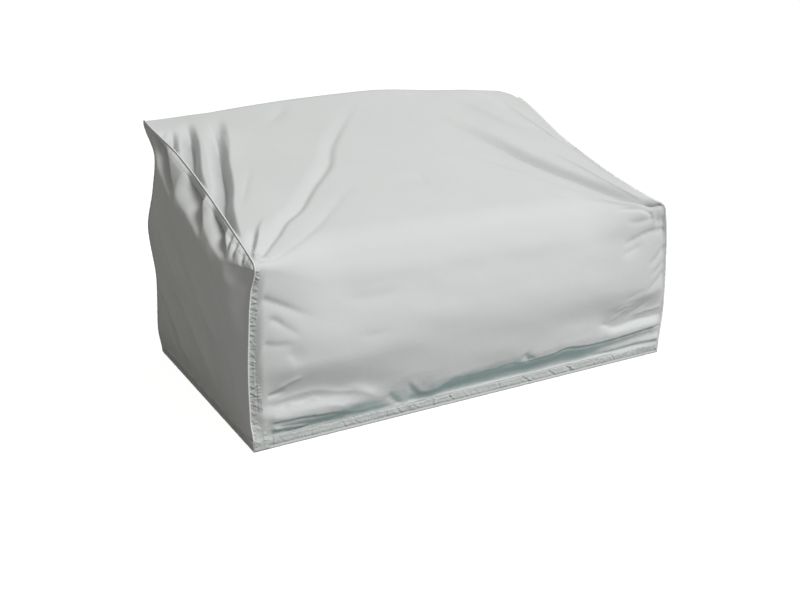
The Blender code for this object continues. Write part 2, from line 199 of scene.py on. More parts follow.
@dataclass(frozen=True)
class Gathers:
    """Small creases at uneven places along a sewn strip, with a fixed seed.

    Depth is in millimetres. Lean is the steepest slant of a crease, reach how far from the
    strip's edge it runs, and bow how strongly it may curve, which is 0 for every strip here.
    """

    seed: int
    spacing: Point
    depth: Point
    width: float
    lean: float
    reach: Point = (0.0, 1.0)
    bow: float = 0.0

    SPREAD = (0.7, 1.5)
    SHOWN = 6.0
    TAIL = 0.006
    # The swelling beside a crease: its height, and its place and width in crease widths
    BESIDE = (0.55, 2.4, 1.5)

    def relief(self, along: Array, across: Array) -> Array:
        """Return the creases' height.

        Args:
            along: Places along the strip.
            across: Places across the strip, from the edge that it is gathered to.

        Returns:
            Heights, mostly below zero.
        """
        draw = np.random.default_rng(self.seed)
        height = np.zeros_like(along)
        place = float(along.min())
        end = float(along.max())
        while place < end:
            place += float(draw.uniform(*self.spacing))
            depth = float(draw.uniform(*self.depth)) * MM
            lean = float(draw.uniform(-self.lean, self.lean))
            width = self.width * float(draw.uniform(*self.SPREAD))
            shown = float(draw.uniform(*self.reach)) if self.reach[0] > 0.0 else 1.0
            bow = float(draw.uniform(-self.bow, self.bow))
            offset = along - place - lean * across - bow * across**2
            near = np.abs(offset) < self.SHOWN * width
            line = -np.exp(-np.abs(offset[near]) / width)
            swell, where, how_wide = self.BESIDE
            beside = swell * bell(offset[near], where * width, how_wide * width)
            tail = below(across[near], shown, self.TAIL) if shown < 1.0 else 1.0
            height[near] += depth * (line + beside) * tail
        return height


class FoldShape(Enum):
    """How a fold's height changes from its line outwards."""

    ROLL = "soft on both sides"
    CREASE = "sharp at its line, with hollowed flanks"
    LIP = "swells on its left, drops away under a lip on its right"
    TROUGH = "a valley with straight flanks that end softly"


@dataclass(frozen=True)
class Fold:
    """One fold of a panel, along a smooth line in the panel's own two directions.

    Left and right are as seen when walking along the line with the first direction to
    the right and the second upwards. Sizes in millimetres. Fade gives the shares of the
    line over which the fold rises and sinks, taper what is left of its two widths at the
    line's end, drop how deep it falls under a lip, and edge how softly it turns at its line.
    The last field is painted shade: how much darker the fold's colour is drawn.
    """

    name: str
    path: tuple[Point, ...]
    height: float
    left: float
    right: float
    shape: FoldShape = FoldShape.ROLL
    fade: Point = (0.3, 0.3)
    drop: float = 1.0
    edge: float = 1.6
    taper: Point = (1.0, 1.0)
    # Painted shade: how much darker the colour is drawn along the fold
    dust: float = 0.0

    FLANK = 1.45
    SHOWN = 3.4

    def profile(self, offset: Array, place: Array) -> Array:
        """Return the share of the height at signed offsets from the line, left positive."""
        left = self.left * (1.0 + (self.taper[0] - 1.0) * place)
        right = self.right * (1.0 + (self.taper[1] - 1.0) * place)
        width = np.where(offset > 0.0, left, right) * MM
        if self.shape is FoldShape.ROLL:
            return bell(offset, 0.0, width)
        tip = self.edge * MM
        if self.shape is FoldShape.CREASE:
            return np.exp(-(np.sqrt(offset**2 + tip**2) - tip) / width)
        if self.shape is FoldShape.LIP:
            upper = bell(np.maximum(offset, 0.0), 0.0, self.left * MM)
            lower = bell(np.maximum(-offset, 0.0), 0.0, self.right * MM)
            over = smooth_step(0.5 + offset / (2.0 * tip))
            return upper * over - self.drop * lower * (1.0 - over)
        away = (np.sqrt(offset**2 + tip**2) - tip) / width
        return np.clip(1.0 - away, 0.0, 1.0) ** self.FLANK

    def reach(self) -> float:
        """Return how far from its line the fold still shows."""
        return self.SHOWN * max(self.left, self.right, self.edge) * MM


@dataclass
class FoldField:
    """The folds of one panel, added up."""

    folds: Sequence[Fold]

    def lift(self, first: Array, second: Array) -> tuple[Array, Array]:
        """Add up the folds.

        Args:
            first: Places along the panel's first direction.
            second: Places along its second direction.

        Returns:
            Height off the panel, and how much painted shade darkens its folds, 0 to 1.
        """
        height = np.zeros_like(first)
        dust = np.zeros_like(first)
        for fold in self.folds:
            path = smooth_path(fold.path) * MM
            low = path.min(axis=0) - fold.reach()
            high = path.max(axis=0) + fold.reach()
            near = (first > low[0]) & (first < high[0]) & (second > low[1]) & (second < high[1])
            if not near.any():
                continue
            offset, place = self.offset_from(path, first[near], second[near])
            share = fold.profile(offset, place)
            for from_end, fade in zip((place, 1.0 - place), fold.fade):
                if fade > 0.0:
                    share = share * smooth_step(from_end / fade)
            height[near] += fold.height * MM * share
            # Painted shade: the fold darkens the cloth's colour along its line
            dust[near] += fold.dust * share
        return height, dust

    @staticmethod
    def offset_from(path: Array, first: Array, second: Array) -> tuple[Array, Array]:
        """Return the signed distance from a line, left positive, and the place along it."""
        start, run = path[:-1], np.diff(path, axis=0)
        size = np.maximum((run**2).sum(axis=1), TINY)
        to_first = first[:, None] - start[None, :, 0]
        to_second = second[:, None] - start[None, :, 1]
        share = np.clip((to_first * run[:, 0] + to_second * run[:, 1]) / size, 0.0, 1.0)
        gap_first = to_first - share * run[:, 0]
        gap_second = to_second - share * run[:, 1]
        nearest = np.argmin(gap_first**2 + gap_second**2, axis=1)
        pick = np.arange(len(first)), nearest
        distance = np.hypot(gap_first[pick], gap_second[pick])
        turn = run[nearest, 0] * gap_second[pick] - run[nearest, 1] * gap_first[pick]
        walked = np.concatenate([[0.0], np.cumsum(np.sqrt(size))])
        place = (walked[nearest] + share[pick] * np.sqrt(size[nearest])) / walked[-1]
        return distance * np.where(turn >= 0.0, 1.0, -1.0), place


ROLL, CREASE, LIP, TROUGH = FoldShape

# Places are (across the width, distance up the cloth from the front hem).
# Some folds also darken the cloth's colour along their line: that is painted shade.
BODY_FOLDS = (
    # Troughs that run from the ridge down to the left seam
    Fold("smudge at the back corner", ((-688, 1170), (-670, 1200), (-655, 1225)),
         -6, 14, 12, TROUGH, (0, 0.5), edge=2.5),
    Fold("first trough", ((-695, 1075), (-673, 1130), (-650, 1175), (-628, 1225)),
         -24, 26, 20, TROUGH, (0, 0.5), edge=1.5, dust=0.15),
    Fold("second trough", ((-695, 875), (-676, 950), (-656, 1005), (-612, 1115), (-576, 1235)),
         -40, 44, 22, TROUGH, (0, 0.32), edge=1.5, dust=0.24),
    Fold("widest trough",
         ((-695, 625), (-672, 710), (-650, 775), (-618, 840), (-597, 895), (-578, 955), (-556, 1020),
          (-538, 1090), (-522, 1150), (-508, 1225)),
         -44, 46, 25, TROUGH, (0, 0.52), edge=1.5, dust=0.24),
    Fold("widest trough, upper part", ((-565, 980), (-532, 1070), (-508, 1130), (-482, 1210)),
         -9, 20, 14, ROLL, (0.3, 0.4)),
    Fold("crest of the widest trough", ((-560, 930), (-515, 1035), (-488, 1115), (-468, 1190)),
         6, 10, 50, CREASE, (0.35, 0.4), edge=2),
    Fold("short sharp fold above the left arm",
         ((-680, 497), (-664, 530), (-632, 578), (-603, 625), (-552, 677)),
         9, 13, 44, TROUGH, (0.1, 0.5), edge=1.2),
    Fold("hollow left of the short fold", ((-678, 530), (-643, 590), (-613, 635)),
         -9, 24, 14, TROUGH, (0.2, 0.5), edge=3),
    Fold("long crease, ridge to left arm",
         ((-668, 500), (-606, 552), (-560.5, 585), (-515.5, 624), (-444.5, 666), (-366, 753),
          (-275.5, 849), (-210, 960), (-60, 1140), (0, 1220)),
         -9, 40, 15, TROUGH, (0.03, 0.5), edge=2),
    Fold("second crease above the left arm",
         ((-655, 485), (-580, 505), (-440, 570), (-280, 710), (-160, 780)),
         -4, 20, 9, CREASE, (0.03, 0.6), edge=2),
    Fold("faint crease left of the middle", ((-620, 730), (-550, 830), (-490, 930)),
         -2.5, 18, 9, CREASE, (0.4, 0.5), edge=2),
    Fold("faint crease in the middle", ((-20, 680), (-30, 730), (-20, 780)),
         -1.5, 14, 8, CREASE, (0.4, 0.5), edge=2),
    Fold("faint fold near the ridge", ((-360, 1100), (-300, 1160), (-250, 1210)),
         -4, 26, 16, CREASE, (0.4, 0.4), edge=4),
    # Creases that run from the ridge down to the right arm
    Fold("crease by the right seam",
         ((690, 850), (650, 925), (600, 980), (567, 1035), (540, 1120), (532, 1220)),
         -5, 24, 7, CREASE, (0, 0.3), edge=1.5),
    Fold("faint crease, right", ((580, 1050), (530, 1100), (500, 1180), (440, 1230)),
         -3.5, 20, 10, CREASE, (0.4, 0.4), edge=2),
    Fold("second faint crease, right", ((530, 940), (470, 1000), (400, 1100), (340, 1220)),
         -5, 24, 12, CREASE, (0.4, 0.4), edge=2.5, dust=0.06),
    Fold("right shadow trough",
         ((675, 488), (647, 503), (618, 526), (575, 566), (538, 610), (500, 658), (466, 695), (434, 735),
          (390, 800), (355, 868), (322, 930), (245, 1045), (170, 1130)),
         -18, 34, 24, ROLL, (0.05, 0.55), dust=0.21),
    # The next two are shallow creases whose darkness is mostly painted shade
    Fold("line of painted shade above the trough",
         ((655, 517), (628, 556), (602, 602), (582, 655), (560, 712), (528, 775), (495, 830)),
         -3.0, 4, 3, CREASE, (0.15, 0.5), edge=0.8, dust=0.30),
    Fold("line of painted shade by the right seam",
         ((687, 600), (676, 720), (658, 855), (624, 955), (592, 1025), (562, 1110), (545, 1210)),
         -2.5, 4, 3, CREASE, (0.25, 0.3), edge=0.8, dust=0.22),
    Fold("thin crease above the trough",
         ((650, 530), (620, 570), (594, 615), (574, 670), (546, 735), (510, 795), (474, 852)),
         5, 10, 16, CREASE, (0.2, 0.5), edge=1.2),
    Fold("thin crease below the trough",
         ((660, 482), (635, 490), (550, 505), (500, 528), (448, 552), (393, 593), (347, 645), (300, 700),
          (200, 790), (100, 860)),
         6.5, 16, 8, CREASE, (0.1, 0.5), edge=1.2),
    Fold("soft fold below that crease", ((600, 487), (480, 515), (380, 560), (300, 630)),
         -5, 14, 20, CREASE, (0.25, 0.5), edge=3),
    Fold("notch by the right arm", ((565, 512), (560, 540), (568, 568)),
         -3.5, 4, 8, CREASE, (0.3, 0.3), edge=1.2),
    Fold("pit at the right arm corner", ((683, 486), (660, 496), (615, 514)),
         -11, 8, 8, CREASE, (0.0, 0.6), edge=2, dust=0.55),
    Fold("hooked tuck under the right arm corner", ((500, 482), (560, 480), (600, 474), (632, 452)),
         -5, 12, 6, CREASE, (0.5, 0.05), edge=1.2),
    Fold("tuck below that", ((520, 440), (580, 436), (640, 446)),
         -4, 12, 6, CREASE, (0.5, 0.1), edge=1.5),
    Fold("hollow at the right edge", ((635, 430), (684, 435)), -5, 16, 16, ROLL, (0.4, 0)),
    Fold("faint tuck, right of the front bend", ((300, 540), (460, 475)),
         -2, 14, 8, CREASE, (0.5, 0.5), edge=2),
    Fold("upper tuck, right of the front", ((510, 372), (555, 385), (600, 400), (640, 406), (690, 405)),
         -7, 7, 18, CREASE, (0.25, 0), edge=1.3),
    Fold("second tuck, right of the front", ((495, 342), (530, 350), (565, 360), (600, 377)),
         -4.5, 7, 14, CREASE, (0.4, 0.4), edge=1.5),
    Fold("third tuck, right of the front", ((600, 300), (635, 315), (660, 335), (690, 358)),
         -5, 6, 12, CREASE, (0.35, 0), edge=1.3),
    Fold("fourth tuck, right of the front", ((605, 265), (640, 280), (690, 310)),
         -4, 6, 12, CREASE, (0.4, 0), edge=1.3),
    Fold("fifth tuck, right of the front", ((590, 215), (640, 245), (690, 275)),
         -5, 8, 16, CREASE, (0.4, 0), edge=1.5),
    # The front
    Fold("first tuck, left of the front", ((-660, 400), (-600, 372), (-540, 342), (-490, 325)),
         -7, 7, 18, CREASE, (0.05, 0.65), edge=1.5),
    Fold("second tuck, left of the front", ((-650, 352), (-600, 322), (-565, 296), (-545, 280)),
         -4.5, 7, 16, CREASE, (0.2, 0.45), edge=1.3),
    Fold("little tuck between them", ((-635, 348), (-612, 335), (-600, 320)),
         -3, 4, 7, CREASE, (0.3, 0.3), edge=1),
    Fold("third tuck, left of the front", ((-655, 284), (-610, 275), (-565, 273)),
         -4.5, 5, 20, CREASE, (0.1, 0.4), edge=1.2),
    Fold("hollow by the left band", ((-600, 258), (-575, 240), (-565, 205)),
         -4, 26, 12, ROLL, (0.4, 0.5)),
    Fold("faint upper hollow of the front", ((-450, 360), (-330, 350), (-220, 355)),
         -2.5, 14, 22, ROLL, (0.4, 0.4)),
    Fold("faint middle hollow of the front", ((-420, 265), (-340, 255), (-270, 265)),
         -2, 8, 14, CREASE, (0.5, 0.5), edge=3),
    Fold("ridge inside the dark zone", ((-625, 150), (-600, 166), (-565, 180), (-545, 172)),
         4, 7, 6, CREASE, (0.3, 0.4), edge=1.3),
    Fold("lower edge of the dark zone",
         ((-640, 118), (-595, 128), (-540, 134), (-500, 131), (-455, 118), (-400, 108), (-360, 92),
          (-330, 70)),
         4, 10, 20, CREASE, (0.1, 0.1), edge=1.5),
    Fold("wrinkle on the lower roll", ((-600, 112), (-560, 104), (-525, 110), (-490, 100)),
         2.2, 5, 7, CREASE, (0.2, 0.3), edge=1),
    Fold("second wrinkle on the lower roll", ((-500, 88), (-460, 82), (-425, 70)),
         2.0, 5, 7, CREASE, (0.3, 0.3), edge=1),
    Fold("third wrinkle on the lower roll", ((-640, 86), (-600, 80), (-570, 84)),
         1.8, 5, 6, CREASE, (0.2, 0.4), edge=1),
    Fold("pit in the dark zone", ((-645, 140), (-620, 143), (-590, 152)), -5, 7, 7, ROLL, (0.2, 0.5)),
    Fold("slanting fold of the lower roll", ((-440, 130), (-380, 110), (-330, 75)),
         3, 10, 22, CREASE, (0.4, 0.4), edge=3),
    Fold("ledge in the left pocket", ((-640, 54), (-610, 47), (-575, 42), (-540, 36), (-520, 30)),
         6, 5, 5, ROLL, (0.15, 0.25)),
    Fold("upper edge of the left pocket",
         ((-645, 70), (-600, 70), (-550, 69), (-500, 62), (-455, 58), (-415, 40)),
         3, 16, 6, LIP, (0.1, 0.1), drop=0.8, edge=2.5),
    Fold("fold at the end of the left pocket", ((-450, 56), (-425, 46), (-408, 28)),
         -4, 4, 7, CREASE, (0.2, 0.1), edge=1.2),
    Fold("slanting crease over the hem", ((-302, 82), (-286, 58), (-268, 40), (-252, 14)),
         -6, 5, 10, CREASE, (0.2, 0.1), edge=1.3),
    Fold("left side of the middle lobe", ((-245, 108), (-228, 80), (-205, 58), (-175, 45)),
         3, 16, 9, LIP, (0.25, 0.1), drop=1.0, edge=4.5),
    Fold("right side of the middle lobe", ((-165, 50), (-140, 55), (-122, 66), (-100, 80)),
         2, 16, 9, LIP, (0.2, 0.3), drop=0.8, edge=4),
    Fold("lip of the long pocket",
         ((-105, 78), (-50, 75), (0, 77), (50, 76), (100, 82), (140, 75), (185, 77)),
         1.0, 14, 6, LIP, (0.05, 0.2), drop=1.2, edge=3),
    Fold("lip of the long pocket, right",
         ((140, 75), (185, 78), (250, 82), (300, 92), (360, 84), (450, 80), (545, 86), (600, 90),
          (690, 96)),
         3.0, 12, 6, LIP, (0.15, 0), drop=0.9, edge=2),
    Fold("notch in the lip", ((140, 108), (155, 90), (172, 80)),
         -7, 6, 8, CREASE, (0.25, 0.05), edge=1.5),
    Fold("second roll above the hem, right", ((400, 37), (500, 44), (580, 50), (690, 52)),
         8, 12, 9, ROLL, (0.4, 0)),
    Fold("groove under that roll", ((500, 34), (580, 37), (690, 36)),
         -3.5, 4, 4, CREASE, (0.3, 0), edge=1.2),
    Fold("upper edge of the hollow, right", ((400, 178), (500, 192), (580, 205), (690, 222)),
         3, 22, 16, CREASE, (0.35, 0.1), edge=4),
    Fold("sharp edge of that hollow",
         ((420, 140), (460, 130), (475, 120), (500, 115), (525, 115), (560, 122), (600, 124), (640, 122),
          (690, 130)),
         -4, 14, 5, CREASE, (0.1, 0.05), edge=1.5),
    Fold("fine crease in the hollow", ((465, 138), (500, 155), (525, 168), (560, 172)),
         3, 6, 5, CREASE, (0.3, 0.3), edge=1),
    Fold("second fine crease in the hollow", ((475, 170), (520, 181), (575, 187)),
         2.5, 6, 5, CREASE, (0.3, 0.4), edge=1),
    Fold("third fine crease in the hollow", ((560, 140), (600, 150), (650, 152), (685, 160)),
         3.5, 7, 5, CREASE, (0.3, 0.2), edge=1),
    Fold("fourth fine crease in the hollow", ((530, 130), (550, 150), (600, 175), (640, 200)),
         -2.5, 6, 6, CREASE, (0.3, 0.4), edge=1),
    Fold("fifth fine crease in the hollow", ((500, 195), (550, 215), (620, 232)),
         -2.5, 10, 8, CREASE, (0.4, 0.4), edge=1.5),
    # The back, which does not show
    Fold("first soft fold of the back", ((-360, 2020), (-320, 1750), (-340, 1420)), 10, 50, 50),
    Fold("second soft fold of the back", ((70, 2030), (40, 1800), (80, 1450)), -10, 60, 60),
    Fold("third soft fold of the back", ((420, 2020), (450, 1750), (400, 1420)), 11, 50, 50),
)

# Places are (distance towards the back from the middle, height above the hem).
LEFT_END_FOLDS = (
    # Valleys that go on from the troughs of the sloping top, with lit folds behind them
    Fold("first valley", ((275, 693), (222, 655), (192, 636), (135, 594), (103, 570), (75, 519)),
         -36, 42, 20, TROUGH, (0, 0.6), edge=1.5, taper=(0.15, 0.9)),
    Fold("second valley", ((16, 622), (-4, 604), (-36, 584), (-70, 557), (-108, 522), (-134, 490)),
         -46, 70, 20, TROUGH, (0, 0.6), edge=1.5, taper=(0.10, 0.9)),
    Fold("third valley", ((-150, 568), (-168, 552), (-222, 516), (-278, 483), (-298, 470)),
         -34, 44, 15, TROUGH, (0, 0.6), edge=1.2, taper=(0.30, 0.9)),
    Fold("little valley by the back corner", ((325, 708), (300, 690), (272, 665), (250, 645)),
         -9, 14, 8, TROUGH, (0, 0.5), edge=1.2),
    Fold("second little valley by the back corner", ((360, 718), (345, 700), (330, 678)),
         -7, 14, 9, TROUGH, (0, 0.5), edge=1.2),
    Fold("first sliver", ((-205, 543), (-222, 528), (-245, 505)), -9, 11, 7, TROUGH, (0, 0.5), edge=1.0),
    Fold("second sliver", ((-250, 530), (-266, 514), (-288, 490)), -9, 10, 7, TROUGH, (0, 0.5), edge=1.0),
    Fold("third sliver", ((-292, 516), (-305, 500), (-322, 480)), -9, 10, 7, TROUGH, (0, 0.5), edge=1.0),
    Fold("fourth sliver", ((-336, 502), (-346, 488), (-358, 472)), -7, 9, 6, TROUGH, (0, 0.5), edge=1.0),
    # Long soft folds that slant down towards the front
    Fold("roll at the back corner", ((340, 600), (290, 500), (170, 380), (20, 260)), 9, 34, 30),
    Fold("long upper valley", ((200, 540), (130, 420), (0, 310), (-100, 240)),
         -9, 24, 34, CREASE, (0.3, 0.4), edge=8),
    Fold("long upper roll", ((40, 460), (-40, 370), (-160, 270), (-250, 200)),
         9, 30, 36, ROLL, (0.3, 0.4)),
    Fold("middle valley", ((-165, 470), (-220, 390), (-290, 310)),
         -7, 24, 26, CREASE, (0.3, 0.5), edge=7),
    Fold("long low roll", ((360, 430), (240, 340), (60, 220), (-180, 70)), 10, 34, 36, ROLL, (0.2, 0.3)),
    Fold("long low valley", ((360, 360), (220, 270), (40, 150), (-100, 60)),
         -9, 24, 30, CREASE, (0.2, 0.3), edge=8),
    Fold("bottom roll", ((370, 280), (260, 190), (120, 90), (50, 40)), 8, 26, 26, ROLL, (0.2, 0.3)),
    Fold("bottom valley", ((370, 200), (280, 130), (200, 60)), -6, 18, 20, CREASE, (0.2, 0.3), edge=6),
    Fold("bottom crease", ((160, 200), (60, 110), (-20, 40)), -3, 12, 12, CREASE, (0.4, 0.2), edge=2),
)
RIGHT_END_FOLDS = (
    Fold("upper valley", ((180, 560), (100, 420), (0, 310), (-80, 240)), -9, 34, 50, ROLL, (0.3, 0.4)),
    Fold("upper roll", ((40, 460), (-40, 360), (-160, 250), (-250, 180)), 8, 34, 40, ROLL, (0.3, 0.4)),
    Fold("low roll", ((360, 450), (220, 330), (60, 200), (-140, 80)), 9, 36, 40, ROLL, (0.2, 0.3)),
    Fold("low valley", ((360, 340), (200, 250), (40, 130), (-80, 60)), -7, 26, 34, ROLL, (0.2, 0.3)),
)


@dataclass(frozen=True)
class BagStation:
    """The front's section at one place across the width, as (height, out) in millimetres."""

    across: float
    floor: Point
    lip: Point
    roll: Point
    waist: Point
    belly: Point


class FrontBag:
    """How the front's cloth bags over the hem: floor, lip, lower roll, waist and belly.

    TOP is where the bag ends, FLOOR the least height of its floor, START the share of that
    height up to which the front stays plain, and GAP the least step from floor to lip and
    from lip to roll, all in millimetres as the stations are.
    """

    TOP = 470
    FLOOR = 29
    START = 0.55
    GAP = 12
    BEYOND = 9000
    STATIONS = (
        BagStation(-685, (30, 0), (55, 0), (100, 0), (150, 0), (280, 0)),
        BagStation(-650, (30, -2), (58, 2), (85, 5), (118, -2), (225, 7)),
        BagStation(-620, (34, -8), (58, 5), (85, 10), (118, -3), (225, 15)),
        BagStation(-570, (30, -12), (58, 7), (86, 14), (116, 1), (222, 26)),
        BagStation(-500, (27, -12), (56, 8), (84, 17), (114, 6), (220, 35)),
        BagStation(-440, (24, -11), (54, 9), (78, 18), (108, 10), (218, 39)),
        BagStation(-400, (27, -5), (52, 8), (76, 17), (106, 14), (218, 40)),
        BagStation(-330, (28, -4), (50, 7), (74, 16), (112, 20), (222, 41)),
        BagStation(-260, (28, -3), (46, 3), (74, 13), (125, 27), (230, 41)),
        BagStation(-220, (33, -10), (60, 6), (84, 16), (130, 29), (235, 41)),
        BagStation(-165, (28, -12), (56, 9), (85, 21), (130, 31), (240, 41)),
        BagStation(-120, (27, -15), (70, 15), (90, 25), (132, 33), (242, 42)),
        BagStation(-50, (25, -17), (77, 17), (98, 27), (140, 34), (242, 42)),
        BagStation(100, (26, -17), (82, 18), (105, 27), (145, 33), (242, 41)),
        BagStation(185, (25, -17), (77, 17), (100, 27), (145, 31), (242, 40)),
        BagStation(300, (23, -17), (88, 19), (112, 27), (155, 27), (245, 38)),
        BagStation(400, (30, -15), (79, 14), (106, 22), (148, 21), (245, 37)),
        BagStation(500, (40, -10), (79, 8), (100, 15), (124, 6), (245, 31)),
        BagStation(580, (48, -7), (84, 7), (103, 12), (127, 0), (240, 23)),
        BagStation(650, (56, -3), (90, 5), (105, 8), (129, -3), (235, 11)),
        BagStation(685, (62, 0), (90, 0), (108, 0), (145, 0), (240, 0)),
    )

    def out(self, across: Array, heights: Array) -> Array:
        """Return how far the front stands out.

        Args:
            across: Columns' places across the width.
            heights: Heights up the cloth, one row of them for each column.

        Returns:
            The distance out of the plain front, of the shape of heights.
        """
        places = [station.across for station in self.STATIONS]
        shape = []
        for level in ("floor", "lip", "roll", "waist", "belly"):
            points = [getattr(station, level) for station in self.STATIONS]
            shape.append([curve_through(list(zip(places, part)), across / MM) for part in zip(*points)])
        found = np.zeros(heights.shape)
        for column, section in enumerate(np.array(shape).transpose(2, 0, 1)):
            floor, lip, roll = section[0], section[1], section[2]
            floor[0] = max(floor[0], self.FLOOR)
            lip[0] = max(lip[0], floor[0] + self.GAP)
            roll[0] = max(roll[0], lip[0] + self.GAP)
            foot = [(0.0, 0.0), (self.START * floor[0], 0.0)]
            top = [(self.TOP, 0.0), (self.BEYOND, 0.0)]
            table = np.vstack([foot, section, top])
            found[column] = curve_through(table, heights[column] / MM) * MM
        return found


class Side(Enum):
    """An end of the cover, by the sign of X."""

    LEFT = -1
    RIGHT = 1

    @property
    def word(self) -> str:
        """The end's name in lower case."""
        return self.name.lower()


@dataclass(frozen=True)
class CoverForm:
    """Shape in which the cover hangs before its folds, from the middle of the hem."""

    width: float = 1.37
    depth: float = 0.79
    arm_height: float = 0.485
    back_height: float = 0.734
    cloth: float = 0.0015
    front_radius: Point = (0.022, 0.15)
    front_lean: float = 0.038
    front_blend: float = 0.42
    ridge_radius: Point = (0.010, 0.036)
    ridge_blend: float = 0.30
    hem: float = 0.030
    corner_cut: Point = (0.034, 0.015)
    back_bulge: float = 0.012
    back_bulge_start: float = 1.31
    pull_power: float = 4.0
    corner_fade: Point = (0.06, 0.05)
    arc_points: int = 29

    # How far the ridge line stands above the back corners, by place across the width
    RIDGE = (
        (-0.685, 0.004), (-0.52, 0.028), (-0.33, 0.048), (-0.10, 0.065), (0.08, 0.073),
        (0.30, 0.060), (0.44, 0.053), (0.57, 0.036), (0.64, 0.014), (0.685, -0.004),
    )
    # How far the sewn edges are drawn in, by distance along the edge from the front hem
    LEFT_PULL = (
        (0.0, 0.0), (0.15, 0.0), (0.36, 0.012), (0.485, 0.0275), (0.60, 0.0312), (0.72, 0.0335),
        (0.88, 0.0345), (1.02, 0.031), (1.10, 0.026), (1.20, 0.012), (1.31, 0.001), (1.42, 0.026),
        (1.52, 0.012), (1.64, -0.012), (1.80, 0.0), (1.97, -0.008), (2.048, 0.0),
    )
    RIGHT_PULL = (
        (0.0, 0.0), (0.15, -0.009), (0.36, 0.002), (0.485, 0.022), (0.51, 0.034), (0.58, 0.050),
        (0.72, 0.061), (0.95, 0.052), (1.15, 0.018), (1.27, -0.002), (1.31, -0.004), (1.42, 0.012),
        (1.52, 0.006), (1.64, 0.0), (1.80, 0.0), (1.97, -0.004), (2.048, 0.0),
    )

    @property
    def half_width(self) -> float:
        """Half of the width."""
        return self.width / 2

    @property
    def half_depth(self) -> float:
        """Half of the depth."""
        return self.depth / 2

    @property
    def edge_length(self) -> float:
        """Length of the body panel's sewn edge, from the front hem to the back hem."""
        slope = math.hypot(self.depth, self.back_height - self.arm_height)
        return self.arm_height + slope + self.back_height

    def rounded(self, before: Array, corner: Array, after: Array, radius: float) -> Array:
        """Return the points of the arc that rounds a corner of the section."""
        to_before = unit(before - corner)
        to_after = unit(after - corner)
        opening = math.acos(float(to_before @ to_after))
        centre = corner + unit(to_before + to_after) * radius / math.sin(opening / 2)
        first = corner + to_before * radius / math.tan(opening / 2) - centre
        angle = -(math.pi - opening) * np.linspace(0.0, 1.0, self.arc_points)
        turned_y = first[0] * np.cos(angle) - first[1] * np.sin(angle)
        turned_z = first[0] * np.sin(angle) + first[1] * np.cos(angle)
        return centre + np.stack([turned_y, turned_z], axis=1)

    def section(self, across: float) -> Array:
        """Return the body panel's section at one place across the width, as (y, z) rows."""
        from_middle = abs(across) / self.half_width
        loose = float(smooth_step((1.0 - from_middle) / self.front_blend))
        open_ridge = float(smooth_step((1.0 - from_middle) / self.ridge_blend))
        front_radius = np.interp(loose, (0.0, 1.0), self.front_radius)
        ridge_radius = np.interp(open_ridge, (0.0, 1.0), self.ridge_radius)
        rise = float(curve_through(self.RIDGE, across))
        front_hem = np.array([-self.half_depth, 0.0])
        front_corner = np.array([-self.half_depth + self.front_lean * loose, self.arm_height])
        ridge_corner = np.array([self.half_depth, self.back_height + rise])
        back_hem = np.array([self.half_depth, 0.0])
        bend = self.rounded(front_hem, front_corner, ridge_corner, front_radius)
        ridge = self.rounded(front_corner, ridge_corner, back_hem, ridge_radius)
        return np.vstack([front_hem, bend, ridge, back_hem])

    def body(self, across: Array, along: Array, by_share: bool = False) -> "Surface":
        """Lay out a grid on the body panel.

        Args:
            across: Columns' places across the width.
            along: Rows' distances up the cloth, from the front hem.
            by_share: Stretch the rows so that the last one ends each column's section.

        Returns:
            The surface, with its normals and places in the cloth.
        """
        points = np.zeros((len(across), len(along), 3))
        walked = np.zeros((len(across), len(along)))
        totals = np.zeros((len(across), 1))
        for column, place in enumerate(across):
            line = self.section(float(place))
            length = distances(line)
            rows = along * length[-1] / along[-1] if by_share else along
            points[column, :, 1] = np.interp(rows, length, line[:, 0])
            points[column, :, 2] = np.interp(rows, length, line[:, 1])
            walked[column] = rows
            totals[column] = length[-1]
        place = np.repeat(across[:, None], len(along), axis=1)
        on_edge = walked * self.edge_length / totals
        from_left = curve_through(self.LEFT_PULL, on_edge)
        from_right = curve_through(self.RIGHT_PULL, on_edge)
        pull = np.where(place < 0.0, from_left, -from_right)
        points[:, :, 0] = place + pull * np.abs(place / self.half_width) ** self.pull_power
        wide, deep = self.corner_cut
        near_corner = below(place, wide - self.half_width, wide)
        on_front = below(walked, self.arm_height - 10 * MM, self.corner_fade[0])
        on_front = on_front * above(walked, self.hem, self.corner_fade[1])
        points[:, :, 1] += deep * near_corner * on_front
        return Surface(points, place, walked)

    def origin(self) -> Vector:
        """Return the frame's origin under the ridge, from the middle of the hem."""
        middle = self.section(0.0)
        top = middle[int(np.argmax(middle[:, 1]))]
        return Vector((0.0, float(top[0]), float(top[1]) - self.cloth))


